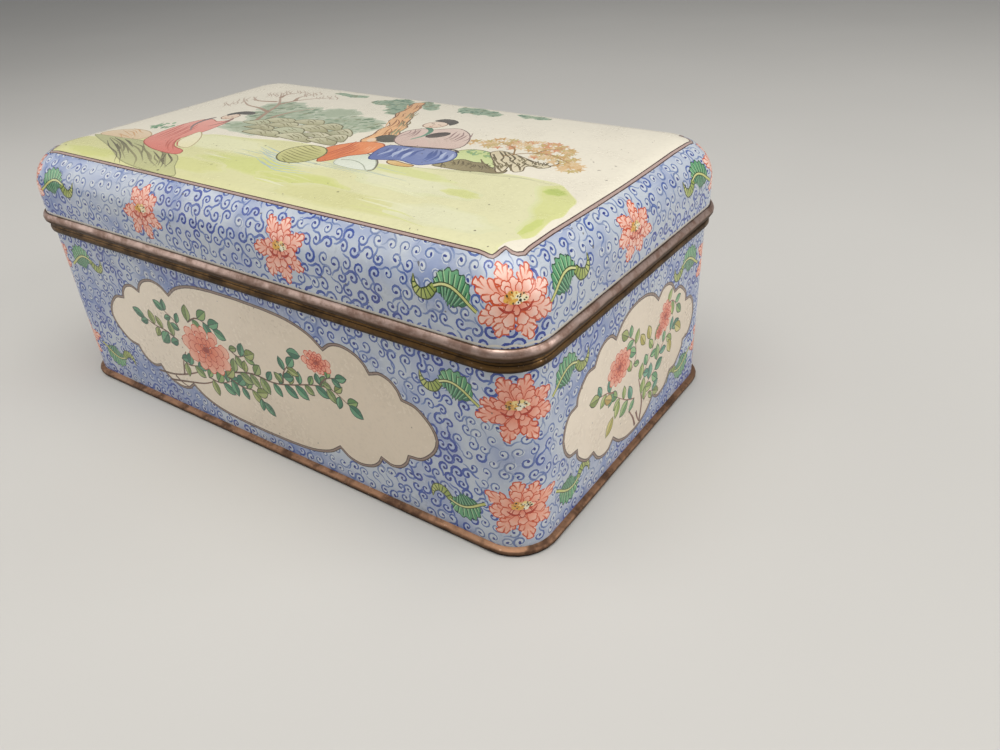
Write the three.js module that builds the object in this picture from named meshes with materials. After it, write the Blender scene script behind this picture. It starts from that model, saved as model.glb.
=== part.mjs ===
// A rectangular lidded box of enamelled copper with rounded corners: a hollow body on a metal
// foot rim, a metal rim with an upright collar around its mouth, and a lift-off domed lid with
// a metal rim of its own. Millimetres, +Z up, the long sides run along X, the box stands at z = 0.
import * as THREE from 'three';
import * as BufferGeometryUtils from 'three/addons/utils/BufferGeometryUtils.js';

// The body, a tray of enamelled copper sheet.
const bodyLength = 174;
const bodyWidth = 100.6;
const bodyCornerRadius = 10;
const bodyHeight = 49.8;
const bodyWall = 1.6;
const bodyFloor = 1.8;
const floorFillet = 4;

// The foot rim, a flared band soldered around and under the lower edge.
const footRimHeight = 2.1;
const footRimReach = 1.5;
const footLedgeWidth = 3.2;
const footLedgeThickness = 1.1;

// The mouth rim, a rolled band over the wall's edge with a collar that keeps the lid in place.
const mouthRimSkirt = 1.2;
const mouthRimReach = 1.1;
const mouthRimPlate = 1.2;
const collarHeight = 4;
const collarThickness = 0.9;

// The lid, a domed shell a little larger than the body.
const lidOverhang = 0.8;
const lidWall = 1.5;
const lidWallHeight = 8.5;
const shoulderInset = 10.2;
const shoulderRise = 11.4;
const topCornerRadius = 5;
const domeRise = 2.1;

// The lid rim, a rolled moulding around the lid's lower edge.
const lidRimSkirt = 1.9;
const lidRimReach = 1.3;
const lidRimLedge = 0.9;

// Clearances: between soldered pieces, between the closed rims, and between collar and lid.
const joinGap = 0.3;
const seatGap = 0.3;
const lidFit = 0.5;

// How finely curves are cut.
const cornerSteps = 8;
const shoulderSteps = 6;
const domeSteps = 4;
const beadSteps = 4;

// Levels, worked out from the foot upward.
const bodyBottom = footLedgeThickness + joinGap;
const bodyTop = bodyBottom + bodyHeight;
const mouthPlateBottom = bodyTop + joinGap;
const mouthRimTop = mouthPlateBottom + mouthRimPlate;
const lidRimBottom = mouthRimTop + seatGap;
const lidBottom = lidRimBottom + lidRimLedge + joinGap;
const shoulderBottom = lidBottom + lidWallHeight;

// Outlines seen from above. Each is a rounded rectangle given by its half sizes and corner radius.
const bodyOutline = { halfLength: bodyLength / 2, halfWidth: bodyWidth / 2, radius: bodyCornerRadius };
const lidOutline = grown(bodyOutline, lidOverhang);

// The collar's faces, measured from the body's outer face.
const collarOuter = lidOverhang - lidWall - lidFit;
const collarInner = collarOuter - collarThickness;

function grown(outline, offset) {
  return {
    halfLength: outline.halfLength + offset,
    halfWidth: outline.halfWidth + offset,
    radius: Math.max(outline.radius + offset, 0.5),
  };
}

// The points of a rounded rectangle at a height, counter-clockwise seen from above. Every loop
// has the same number of points, so loops can be joined one to the next.
function loopPoints(outline, z, scale = 1) {
  const { halfLength, halfWidth, radius } = outline;
  const corner = Math.min(radius, halfLength, halfWidth);
  const centres = [
    [halfLength - corner, -halfWidth + corner, -90],
    [halfLength - corner, halfWidth - corner, 0],
    [-halfLength + corner, halfWidth - corner, 90],
    [-halfLength + corner, -halfWidth + corner, 180],
  ];
  const points = [];
  for (const [x, y, startAngle] of centres) {
    for (let step = 0; step <= cornerSteps; step += 1) {
      const angle = THREE.MathUtils.degToRad(startAngle + (90 * step) / cornerSteps);
      const px = x + corner * Math.cos(angle);
      const py = y + corner * Math.sin(angle);
      points.push(new THREE.Vector3(px * scale, py * scale, z));
    }
  }
  return points;
}

// A closed surface through loops in order. With "ring" the last loop joins the first again, as
// around a moulding; without it the first and last loops are closed by a fan to their centre.
function loft(loops, ring) {
  const perLoop = loops[0].length;
  const vertices = loops.flat();
  const faces = [];
  const joins = ring ? loops.length : loops.length - 1;
  for (let row = 0; row < joins; row += 1) {
    const here = row * perLoop;
    const next = ((row + 1) % loops.length) * perLoop;
    for (let k = 0; k < perLoop; k += 1) {
      const after = (k + 1) % perLoop;
      faces.push(here + k, here + after, next + after);
      faces.push(here + k, next + after, next + k);
    }
  }
  if (!ring) {
    const last = (loops.length - 1) * perLoop;
    const firstCentre = vertices.push(new THREE.Vector3(0, 0, loops[0][0].z)) - 1;
    const lastCentre = vertices.push(new THREE.Vector3(0, 0, loops[loops.length - 1][0].z)) - 1;
    for (let k = 0; k < perLoop; k += 1) {
      const after = (k + 1) % perLoop;
      faces.push(firstCentre, after, k);
      faces.push(lastCentre, last + k, last + after);
    }
  }
  const geometry = new THREE.BufferGeometry().setFromPoints(vertices);
  geometry.setIndex(faces);
  const merged = BufferGeometryUtils.mergeVertices(geometry);
  merged.computeVertexNormals();
  return merged;
}

// A moulding of one section all round an outline. The section is a THREE.Shape whose x is the
// offset outward from the outline and whose y is the height, drawn counter-clockwise.
function moulding(outline, section) {
  const corners = section.getPoints(beadSteps);
  if (corners[0].distanceTo(corners[corners.length - 1]) < 1e-6) corners.pop();
  const loops = corners.map((corner) => loopPoints(grown(outline, corner.x), corner.y));
  return loft(loops, true);
}

// The body: outer face up, over the wall's edge, down the inner face, a filleted corner, the floor.
function bodyGeometry() {
  const floorTop = bodyBottom + bodyFloor;
  const loops = [
    loopPoints(bodyOutline, bodyBottom),
    loopPoints(bodyOutline, bodyTop),
    loopPoints(grown(bodyOutline, -bodyWall), bodyTop),
  ];
  for (let step = 0; step <= beadSteps; step += 1) {
    const angle = (Math.PI / 2) * (step / beadSteps);
    const inset = bodyWall + floorFillet * (1 - Math.cos(angle));
    const height = floorTop + floorFillet * (1 - Math.sin(angle));
    loops.push(loopPoints(grown(bodyOutline, -inset), height));
  }
  return loft(loops, false);
}

// The flared foot rim with a ledge under the body's floor.
function footRimGeometry() {
  const section = new THREE.Shape();
  section.moveTo(-footLedgeWidth, 0);
  section.lineTo(footRimReach * 0.85, 0);
  section.quadraticCurveTo(footRimReach, 0, footRimReach, footRimHeight * 0.25);
  section.quadraticCurveTo(footRimReach * 0.9, footRimHeight * 0.8, joinGap + footRimReach * 0.2, footRimHeight);
  section.lineTo(joinGap, footRimHeight);
  section.lineTo(joinGap, footLedgeThickness);
  section.lineTo(-footLedgeWidth, footLedgeThickness);
  section.closePath();
  return moulding(bodyOutline, section);
}

// The rolled mouth rim, its plate over the wall's edge and its upright collar.
function mouthRimGeometry() {
  const skirtBottom = bodyTop - mouthRimSkirt;
  const middle = (skirtBottom + mouthRimTop) / 2;
  const section = new THREE.Shape();
  section.moveTo(joinGap, skirtBottom);
  section.quadraticCurveTo(mouthRimReach, skirtBottom, mouthRimReach, middle);
  section.quadraticCurveTo(mouthRimReach, mouthRimTop, mouthRimReach * 0.5, mouthRimTop);
  section.lineTo(collarOuter, mouthRimTop);
  section.lineTo(collarOuter, mouthRimTop + collarHeight);
  section.lineTo(collarInner, mouthRimTop + collarHeight);
  section.lineTo(collarInner, mouthPlateBottom);
  section.lineTo(joinGap, mouthPlateBottom);
  section.closePath();
  return moulding(bodyOutline, section);
}

// The lid's rolled moulding: a sloping upper face, a rounded edge and a ledge under the wall.
function lidRimGeometry() {
  const rimTop = lidBottom + lidRimSkirt;
  const widest = (lidRimBottom + rimTop) / 2;
  const section = new THREE.Shape();
  section.moveTo(-lidWall, lidRimBottom);
  section.lineTo(lidRimReach * 0.4, lidRimBottom);
  section.quadraticCurveTo(lidRimReach, lidRimBottom, lidRimReach, widest);
  section.quadraticCurveTo(lidRimReach * 0.9, rimTop, joinGap + lidRimReach * 0.15, rimTop);
  section.lineTo(joinGap, rimTop);
  section.lineTo(joinGap, lidRimBottom + lidRimLedge);
  section.lineTo(-lidWall, lidRimBottom + lidRimLedge);
  section.closePath();
  return moulding(lidOutline, section);
}

// The loops of one face of the lid from its lower edge to the top of its dome, drawn in from the
// outer face by "depth" on the walls and the top alike.
function lidFace(depth) {
  const insetAll = shoulderInset - depth;
  const rise = shoulderRise - depth;
  const outline = grown(lidOutline, -depth);
  const topRadius = Math.max(topCornerRadius - depth, 0.5);
  const loops = [loopPoints(outline, lidBottom)];
  let last = outline;
  for (let step = 0; step <= shoulderSteps; step += 1) {
    const angle = (Math.PI / 2) * (step / shoulderSteps);
    const inset = insetAll * (1 - Math.cos(angle));
    last = {
      halfLength: outline.halfLength - inset,
      halfWidth: outline.halfWidth - inset,
      radius: THREE.MathUtils.lerp(outline.radius, topRadius, insetAll > 0 ? inset / insetAll : 1),
    };
    loops.push(loopPoints(last, shoulderBottom + rise * Math.sin(angle)));
  }
  for (let step = 1; step < domeSteps; step += 1) {
    const share = 1 - step / domeSteps;
    const height = shoulderBottom + rise + domeRise * (1 - share * share);
    loops.push(loopPoints(last, height, share));
  }
  return { loops, apex: new THREE.Vector3(0, 0, shoulderBottom + rise + domeRise) };
}

// The lid: its outer and inner faces joined along the lower edge, each closed at its apex.
function lidGeometry() {
  const outer = lidFace(0);
  const inner = lidFace(lidWall);
  const perLoop = outer.loops[0].length;
  const loops = [...outer.loops.slice().reverse(), ...inner.loops];
  const vertices = loops.flat();
  const faces = [];
  for (let row = 0; row + 1 < loops.length; row += 1) {
    for (let k = 0; k < perLoop; k += 1) {
      const after = (k + 1) % perLoop;
      const here = row * perLoop;
      const next = here + perLoop;
      faces.push(here + k, next + after, here + after);
      faces.push(here + k, next + k, next + after);
    }
  }
  const outerApex = vertices.push(outer.apex) - 1;
  const innerApex = vertices.push(inner.apex) - 1;
  const last = (loops.length - 1) * perLoop;
  for (let k = 0; k < perLoop; k += 1) {
    const after = (k + 1) % perLoop;
    faces.push(outerApex, k, after);
    faces.push(innerApex, last + after, last + k);
  }
  const geometry = new THREE.BufferGeometry().setFromPoints(vertices);
  geometry.setIndex(faces);
  const merged = BufferGeometryUtils.mergeVertices(geometry);
  merged.computeVertexNormals();
  return merged;
}

const blueEnamel = new THREE.MeshStandardMaterial({ color: 0x9fb2dc, roughness: 0.25, metalness: 0 });
const paleEnamel = new THREE.MeshStandardMaterial({ color: 0xdcdfe0, roughness: 0.25, metalness: 0 });
const wornGilding = new THREE.MeshStandardMaterial({ color: 0x8c6a55, roughness: 0.45, metalness: 0.9 });
const darkBrass = new THREE.MeshStandardMaterial({ color: 0x5c4a2c, roughness: 0.4, metalness: 0.9 });
const copperFoot = new THREE.MeshStandardMaterial({ color: 0x8f6b52, roughness: 0.5, metalness: 0.9 });

function piece(name, geometry, material) {
  const mesh = new THREE.Mesh(geometry, material);
  mesh.name = name;
  return mesh;
}

const base = new THREE.Group();
base.add(piece('box_body', bodyGeometry(), blueEnamel));
base.add(piece('foot_rim', footRimGeometry(), copperFoot));
base.add(piece('mouth_rim', mouthRimGeometry(), darkBrass));

const cover = new THREE.Group();
cover.add(piece('lid', lidGeometry(), paleEnamel));
cover.add(piece('lid_rim', lidRimGeometry(), wornGilding));

const box = new THREE.Group();
box.add(base);
box.add(cover);

export default box;
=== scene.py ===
import math
import random

import bmesh
import bpy
import numpy as np
from mathutils import Matrix, Vector
from mathutils.geometry import delaunay_2d_cdt


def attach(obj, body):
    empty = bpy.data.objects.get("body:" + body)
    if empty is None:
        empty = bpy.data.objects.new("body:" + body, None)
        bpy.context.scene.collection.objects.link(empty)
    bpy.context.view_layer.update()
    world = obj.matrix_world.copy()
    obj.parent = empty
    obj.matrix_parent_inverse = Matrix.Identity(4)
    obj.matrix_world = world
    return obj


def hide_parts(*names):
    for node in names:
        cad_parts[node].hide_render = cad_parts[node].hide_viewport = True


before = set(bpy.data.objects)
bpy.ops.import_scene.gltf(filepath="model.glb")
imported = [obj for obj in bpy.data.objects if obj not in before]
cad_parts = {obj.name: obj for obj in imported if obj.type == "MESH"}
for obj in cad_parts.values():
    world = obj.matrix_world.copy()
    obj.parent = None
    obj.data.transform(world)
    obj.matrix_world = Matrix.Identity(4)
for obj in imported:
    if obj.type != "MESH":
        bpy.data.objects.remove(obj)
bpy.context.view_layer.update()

# The view: the box seen from above its near corner, long side to the left, as in the photograph.
# The camera stands a hand's breadth away, with the slight tilt of a hand-held picture.
MM = 0.001
VIEW_AZIMUTH = math.radians(35.92)
VIEW_DOWN = math.radians(32.17)
VIEW_TILT = math.radians(-3.11)
CAMERA_PLACE = Vector((162.1, -161.5, 136.5)) * MM


def aim(azimuth, down, tilt):
    forward = Vector((-math.sin(azimuth) * math.cos(down), math.cos(azimuth) * math.cos(down),
        -math.sin(down)))
    level = forward.cross(Vector((0, 0, 1))).normalized()
    upright = level.cross(forward)
    right = level * math.cos(tilt) + upright * math.sin(tilt)
    up = upright * math.cos(tilt) - level * math.sin(tilt)
    return Matrix((right, up, -forward)).transposed().to_4x4()


camera_data = bpy.data.cameras.new("view")
camera_data.lens = 29.1
camera_data.sensor_width = 36
camera_data.clip_start = 0.01
camera = bpy.data.objects.new("view", camera_data)
camera.matrix_world = Matrix.Translation(CAMERA_PLACE) @ aim(VIEW_AZIMUTH, VIEW_DOWN, VIEW_TILT)
bpy.context.scene.collection.objects.link(camera)
bpy.context.scene.camera = camera
bpy.context.scene.view_settings.view_transform = "Standard"


# Soft studio light: a broad lamp overhead, a weaker one on either side, and a pale surround. The
# floor is a plain pale sheet under the box, matt like paper.
def lamp(name, place, size, power, colour):
    data = bpy.data.lights.new(name, "AREA")
    data.shape = "RECTANGLE"
    data.size, data.size_y = size
    data.energy = power
    data.color = colour
    thing = bpy.data.objects.new(name, data)
    direction = Vector((0, 0, 0.03)) - Vector(place)
    thing.matrix_world = Matrix.Translation(Vector(place)) @ direction.to_track_quat("-Z",
        "Y").to_matrix().to_4x4()
    bpy.context.scene.collection.objects.link(thing)


lamp("overhead", (0.1, -0.12, 0.8), (0.9, 0.7), 6.0, (1.0, 0.98, 0.94))
lamp("left_fill", (-0.38, -0.24, 0.26), (0.4, 0.4), 0.5, (1.0, 0.98, 0.95))
lamp("right_fill", (0.76, 0.24, 0.4), (0.6, 0.5), 2.5, (1.0, 0.99, 0.98))
surround = bpy.data.worlds.new("surround")
surround.use_nodes = True
surround.node_tree.nodes["Background"].inputs["Color"].default_value = (0.80, 0.81, 0.82, 1)
surround.node_tree.nodes["Background"].inputs["Strength"].default_value = 0.3
bpy.context.scene.world = surround


class Value:
    """A number or vector on a node's socket, so that shader sums read as ordinary expressions."""

    def __init__(self, sheet, socket):
        self.sheet = sheet
        self.socket = socket

    def math(self, operation, *items):
        return self.sheet.math(operation, self, *items)

    def __add__(self, other):
        return self.sheet.math("ADD", self, other)

    def __radd__(self, other):
        return self.sheet.math("ADD", other, self)

    def __sub__(self, other):
        return self.sheet.math("SUBTRACT", self, other)

    def __rsub__(self, other):
        return self.sheet.math("SUBTRACT", other, self)

    def __mul__(self, other):
        return self.sheet.math("MULTIPLY", self, other)

    def __rmul__(self, other):
        return self.sheet.math("MULTIPLY", other, self)


class Sheet:
    """A material's node tree. Each call makes one node and hands back its output."""

    def __init__(self, name):
        self.material = bpy.data.materials.new(name)
        self.material.use_nodes = True
        self.tree = self.material.node_tree
        self.tree.nodes.clear()

    def node(self, kind, settings, inputs, output=0):
        made = self.tree.nodes.new(kind)
        for key, setting in settings.items():
            setattr(made, key, setting)
        for key, item in inputs.items():
            if isinstance(item, Value):
                self.tree.links.new(item.socket, made.inputs[key])
            else:
                made.inputs[key].default_value = item
        return Value(self, made.outputs[output]) if made.outputs else made

    def math(self, operation, *items):
        return self.node("ShaderNodeMath", {"operation": operation}, dict(enumerate(items)))

    def blend(self, share, first, second):
        return self.node("ShaderNodeMix", {"data_type": "RGBA"}, {0: share, 6: first, 7: second}, 2)

    def ramp(self, item, low, high, least=0.0):
        """A soft step from the least value, where the item is low, to one, where it is high."""
        inputs = {0: item, 1: low, 2: high, 3: least, 4: 1.0}
        return self.node("ShaderNodeMapRange", {"interpolation_type": "SMOOTHSTEP"}, inputs)

    def place(self):
        return self.node("ShaderNodeTexCoord", {}, {}, 3)

    def noise(self, scale, detail, roughness, place):
        inputs = {"Vector": place, "Scale": scale, "Detail": detail, "Roughness": roughness}
        return self.node("ShaderNodeTexNoise", {}, inputs)

    def attribute(self, name):
        return self.node("ShaderNodeAttribute", {"attribute_name": name}, {})

    def bump(self, height, distance, strength):
        return self.node("ShaderNodeBump", {}, {"Height": height, "Distance": distance, "Strength": strength})

    def finish(self, **inputs):
        named = {key.replace("_", " "): item for key, item in inputs.items()}
        surface = self.node("ShaderNodeBsdfPrincipled", {}, named)
        self.node("ShaderNodeOutputMaterial", {}, {"Surface": surface})
        return self.material


def ink(code):
    """A colour written as red, green and blue in hexadecimal, as linear light."""
    parts = [int(code[i:i + 2], 16) / 255 for i in (0, 2, 4)]
    return tuple(v / 12.92 if v < 0.04045 else ((v + 0.055) / 1.055) ** 2.4 for v in parts) + (1.0,)


FLOOR_REACH = 4
paper = Sheet("pale_floor")
floor_tone = paper.blend(paper.noise(6.0, 2.0, 0.5, paper.place()), ink("c4c2be"), ink("cccac6"))
floor_material = paper.finish(Base_Color=floor_tone, Roughness=0.75)
floor_mesh = bpy.data.meshes.new("floor")
floor_corners = [(FLOOR_REACH * x, FLOOR_REACH * y, 0) for x, y in ((-1, -1), (1, -1), (1, 1), (-1, 1))]
floor_mesh.from_pydata(floor_corners, [], [(0, 1, 2, 3)])
floor_mesh.materials.append(floor_material)
floor = bpy.data.objects.new("floor", floor_mesh)
bpy.context.scene.collection.objects.link(floor)


# The rims: rolled and soldered brass and copper bands that follow the box's outline. A section is
# swept round a rounded rectangle, with the faint waver of a strip bent and filed by hand.
# Each outline is given as half its length, half its width, and the radius of its corners.
BODY_HALF = (87.0, 50.3, 10.0)
LID_HALF = (87.8, 51.1, 10.8)
FOOT_TOP = 2.1
ARC_STEPS = 24
SWEEP_STEP = 0.0022


def put(name, mesh, node):
    thing = bpy.data.objects.new(name, mesh)
    bpy.context.scene.collection.objects.link(thing)
    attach(thing, "root")
    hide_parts(node)


def section_curve(name, points):
    data = bpy.data.curves.new(name, "CURVE")
    data.dimensions = "2D"
    line = data.splines.new("POLY")
    line.points.add(len(points) - 1)
    for spot, (out, up) in zip(line.points, points):
        spot.co = (out * MM, -up * MM, 0, 1)
    line.use_cyclic_u = True
    thing = bpy.data.objects.new(name, data)
    bpy.context.scene.collection.objects.link(thing)
    return thing


def rim_tree(name, material):
    """Nodes that sweep the section round the outline, waver it a little and give it its metal."""
    tree = bpy.data.node_groups.new(name, "GeometryNodeTree")
    face = tree.interface
    face.new_socket("Geometry", in_out="INPUT", socket_type="NodeSocketGeometry")
    named = {"Section": "NodeSocketObject", "Length": "NodeSocketFloat", "Width": "NodeSocketFloat",
             "Radius": "NodeSocketFloat", "Waver": "NodeSocketFloat", "Seed": "NodeSocketFloat"}
    sockets = {}
    for label, kind in named.items():
        sockets[label] = face.new_socket(label, in_out="INPUT", socket_type=kind).identifier
    face.new_socket("Geometry", in_out="OUTPUT", socket_type="NodeSocketGeometry")

    def node(kind, settings, inputs):
        made = tree.nodes.new(kind)
        for key, setting in settings.items():
            setattr(made, key, setting)
        for key, item in inputs.items():
            if isinstance(item, bpy.types.NodeSocket):
                tree.links.new(item, made.inputs[key])
            else:
                made.inputs[key].default_value = item
        return made

    given = node("NodeGroupInput", {}, {})
    plan = node("GeometryNodeCurvePrimitiveQuadrilateral", {},
                {"Width": given.outputs["Length"], "Height": given.outputs["Width"]})
    corners = node("GeometryNodeFilletCurve", {"mode": "POLY"},
                   {"Curve": plan.outputs[0], "Count": ARC_STEPS, "Radius": given.outputs["Radius"]})
    path = node("GeometryNodeResampleCurve", {"mode": "LENGTH"},
        {"Curve": corners.outputs[0], "Length": SWEEP_STEP})
    profile = node("GeometryNodeObjectInfo", {}, {"Object": given.outputs["Section"]})
    swept = node("GeometryNodeCurveToMesh", {},
                 {"Curve": path.outputs[0], "Profile Curve": profile.outputs["Geometry"]})
    here = node("GeometryNodeInputPosition", {}, {})
    shifted = node("ShaderNodeTexNoise", {"noise_dimensions": "4D"},
                   {"Vector": here.outputs[0], "W": given.outputs["Seed"], "Scale": 55.0, "Detail": 2.0})
    centred = node("ShaderNodeVectorMath", {"operation": "SUBTRACT"},
                   {0: shifted.outputs["Color"], 1: (0.5, 0.5, 0.5)})
    scaled = node("ShaderNodeVectorMath", {"operation": "SCALE"},
                  {0: centred.outputs[0], "Scale": given.outputs["Waver"]})
    moved = node("GeometryNodeSetPosition", {}, {"Geometry": swept.outputs[0], "Offset": scaled.outputs[0]})
    real = node("GeometryNodeRealizeInstances", {}, {"Geometry": moved.outputs[0]})
    coloured = node("GeometryNodeSetMaterial", {}, {"Geometry": real.outputs[0], "Material": material})
    node("NodeGroupOutput", {}, {0: coloured.outputs[0]})
    return tree, sockets


def metal(name, bright, dark, high, low, shade_ragging, shaded_grooves=(), dull=0.0):
    """Old metal with painted light and shade: its own worn colours above the high level, painted darker below
    the low level as shade, with dark lines painted as shade in gaps and creases, and small pale specks of
    rubbed metal on the upper part that are also painted glints.
    """
    sheet = Sheet(name)
    spot = sheet.place()
    height = sheet.node("ShaderNodeSeparateXYZ", {}, {"Vector": spot}, 2)
    patches = sheet.noise(180.0, 4.0, 0.62, spot)
    streaks = sheet.noise(650.0, 3.0, 0.6, spot)
    # Painted light and shade: the upper part keeps the lit colours and the lower part is painted dark as
    # shade, with a ragged edge between them.
    shade = sheet.ramp(height + (patches - 0.5) * 0.0011 * shade_ragging, low * MM, high * MM)
    # Dark lines painted as shade at the given levels, in the gap between two rims and in the creases of a
    # rolled edge.
    for level, half_width in shaded_grooves:
        away = (height + (patches - 0.5) * 0.0003 - level * MM).math("ABSOLUTE")
        shade = shade * sheet.ramp(away, half_width * 0.5 * MM, half_width * 1.3 * MM, 0.12)
    worn = sheet.ramp(patches + (streaks - 0.5) * 0.35, 0.38, 0.66)
    warm = sheet.blend(worn, ink(bright), ink(dark[0]))
    tone = sheet.blend(shade, ink(dark[1]), warm)
    # Small pale specks of rubbed metal, kept to the lit upper part, so they are also painted glints.
    scuffs_and_glints = sheet.ramp(sheet.noise(1400.0, 2.0, 0.7, spot), 0.66, 0.78)
    tone = sheet.blend(scuffs_and_glints * shade * 0.5, tone, ink("e8cdb8"))
    rough = 0.34 + dull + worn * 0.16 + (1 - shade) * 0.14
    grain = patches * 0.6 + streaks * 0.4
    return sheet.finish(Base_Color=tone, Metallic=0.86, Roughness=rough,
        Normal=sheet.bump(grain, 0.00035, 0.55))


def rim(name, half, section, material, node, waver, seed):
    """One band: the section swept round the outline, then kept as a plain mesh."""
    tree, sockets = rim_tree(name + "_sweep", material)
    profile = section_curve(name + "_section", section)
    start = bpy.data.objects.new(name + "_start", bpy.data.meshes.new(name + "_start"))
    bpy.context.scene.collection.objects.link(start)
    modifier = start.modifiers.new("sweep", "NODES")
    modifier.node_group = tree
    settings = {"Section": profile, "Length": half[0] * 2 * MM, "Width": half[1] * 2 * MM,
                "Radius": half[2] * MM, "Waver": waver * MM, "Seed": seed}
    for label, item in settings.items():
        modifier[sockets[label]] = item
    start.update_tag()
    bpy.context.view_layer.update()
    evaluated = start.evaluated_get(bpy.context.evaluated_depsgraph_get())
    mesh = bpy.data.meshes.new_from_object(evaluated)
    mesh.name = name
    start.modifiers.clear()
    bpy.data.objects.remove(start)
    bpy.data.objects.remove(profile)
    work = bmesh.new()
    work.from_mesh(mesh)
    bmesh.ops.remove_doubles(work, verts=work.verts, dist=0.00001)
    bmesh.ops.recalc_face_normals(work, faces=work.faces)
    work.to_mesh(mesh)
    work.free()
    mesh.polygons.foreach_set("use_smooth", [True] * len(mesh.polygons))
    mesh.set_sharp_from_angle(angle=math.radians(40))
    put(name, mesh, node)


def bead(centre, reach, rise, start, end, steps=7):
    """Points of a rolled edge: part of an ellipse round a centre, from one angle to another."""
    points = []
    for step in range(steps + 1):
        angle = math.radians(start + (end - start) * step / steps)
        points.append((centre[0] + reach * math.cos(angle), centre[1] + rise * math.sin(angle)))
    return points


# Each rim is painted lighter above its high level and darker below its low level as light and shade, and its
# listed lines are painted shade at the gap between the lid rim and the mouth rim and along creases and joins
# of the rolled edges.
foot_metal = metal("worn_copper_foot", "99745a", ("5e4535", "2a1e16"), 1.4, 0.3, 1.8, (), 0.1)
foot_section = [(-3.2, 0.1), (1.15, 0.1)] + bead((0.45, 0.93), 1.03, 0.82, -50, 80) + [(0.02, FOOT_TOP)]
foot_section += [(-0.9, FOOT_TOP), (-0.9, 1.1), (-3.2, 1.1)]
rim("foot_rim_band", BODY_HALF, foot_section, foot_metal, "foot_rim", 0.22, 3.0)
mouth_metal = metal("dark_brass_mouth", "70532f", ("4a3721", "251a10"), 51.6, 50.2, 0.8,
    ((52.7, 0.3), (51.95, 0.12)))
mouth_section = [(-0.1, 50.0), (0.2, 50.02)] + bead((0.35, 51.1), 0.72, 1.05, -75, 60) + [(0.45, 52.68)]
mouth_section += [(-1.2, 52.7), (-1.2, 56.6), (-2.05, 56.6), (-2.05, 51.3), (-0.1, 51.3)]
rim("mouth_rim_band", BODY_HALF, mouth_section, mouth_metal, "mouth_rim", 0.12, 7.0)
lid_metal = metal("worn_gilt_lid_rim", "c0a79c", ("8d7265", "4d3a29"), 55.0, 54.1, 1.2,
    ((53.0, 0.3), (56.1, 0.14)))
lid_section = [(-1.5, 53.02), (0.45, 53.02)] + bead((0.3, 54.45), 0.96, 1.3, -70, 30)
lid_section += [(0.75, 55.7), (0.3, 56.05), (-0.35, 56.05), (-0.35, 53.9), (-1.5, 53.9)]
rim("lid_rim_band", LID_HALF, lid_section, lid_metal, "lid_rim", 0.16, 11.0)


# The outlines seen from above, as a walk round the box. The walk starts at the middle of the
# front and goes anticlockwise: half the front, a corner, a side, and so on, nine lengths in all.
def walk_lengths(half):
    long, wide, bend = half[0] - half[2], 2 * (half[1] - half[2]), half[2] * math.pi / 2
    return [long, bend, wide, bend, 2 * long, bend, wide, bend, long]


def station(half, along):
    ends = np.concatenate([[0.0], np.cumsum(walk_lengths(half))])
    return np.interp(np.mod(along, ends[-1]), ends, np.arange(10.0))


def walk(half, where):
    """The point and the outward direction at each place on a rounded rectangle."""
    long, wide, bend = half[0] - half[2], half[1] - half[2], half[2]
    leg = np.clip(np.floor(where).astype(int), 0, 8)
    part = np.asarray(where) - leg
    x_starts, x_ends = np.array([0, 1, 1, 1, 1, -1, -1, -1, -1]), np.array([1, 1, 1, 1, -1, -1, -1, -1, 0])
    y_starts, y_ends = np.array([-1, -1, -1, 1, 1, 1, 1, -1, -1]), np.array([-1, -1, 1, 1, 1, 1, -1, -1, -1])
    turns = np.array([0, 0, 1, 1, 2, 2, 3, 3, 4])
    angle = (turns[leg] + part * (leg % 2) - 1) * math.pi / 2
    out = np.stack([np.cos(angle), np.sin(angle)], -1)
    x = (x_starts[leg] + (x_ends - x_starts)[leg] * part) * long
    y = (y_starts[leg] + (y_ends - y_starts)[leg] * part) * wide
    return np.stack([x, y], -1) + out * np.asarray(bend)[..., None], out


# The painter's strokes. Every stroke is a flat shape on the unrolled surface, in millimetres,
# with one colour or a run from one to another, and the later ones cover the earlier.
class Painting:
    def __init__(self, fold=None):
        self.fold = fold
        self.strokes = []

    def fill(self, points, first, second=None, start=None, end=None):
        points = np.asarray(points, float)
        if start is None:
            start, end = points[0], points[0] + (1, 0)
        ends = np.array([start, end], float)
        if self.fold:
            points, ends = self.fold(points), self.fold(ends)
        reach = ends[1] - ends[0]
        tones = np.array([ink(first), ink(second or first)])
        self.strokes.append((points, tones, ends[0], reach / max(reach @ reach, 1e-9)))

    def line(self, points, widths, first, second=None):
        points = np.asarray(points, float)
        self.fill(ribbon(points, widths), first, second, points[0], points[-1])


def smooth(points, steps=4, closed=False):
    """A flowing curve through the given points."""
    points = np.asarray(points, float)
    if closed:
        before, after = np.roll(points, 1, axis=0), np.roll(points, -1, axis=0)
        starts, ends, before, later = points, after, before, np.roll(points, -2, axis=0)
    else:
        padded = np.concatenate([[2 * points[0] - points[1]], points, [2 * points[-1] - points[-2]]])
        before, starts, ends, later = padded[:-3], padded[1:-2], padded[2:-1], padded[3:]
    rows = []
    for step in range(steps):
        u = step / steps
        rows.append(0.5 * (2 * starts + (ends - before) * u + (2 * before - 5 * starts + 4 * ends - later)
            * u * u + (3 * starts - before - 3 * ends + later) * u ** 3))
    curve = np.stack(rows, 1).reshape(-1, 2)
    return curve if closed else np.concatenate([curve, points[-1:]])


def ribbon(points, widths):
    """The outline of a brush line of varying width."""
    points = np.asarray(points, float)
    along = np.gradient(points, axis=0)
    along /= np.maximum(np.linalg.norm(along, axis=1), 1e-9)[:, None]
    side = np.stack([-along[:, 1], along[:, 0]], 1) * (np.broadcast_to(widths, len(points)) / 2)[:, None]
    return np.concatenate([points - side, (points + side)[::-1]])


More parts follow.
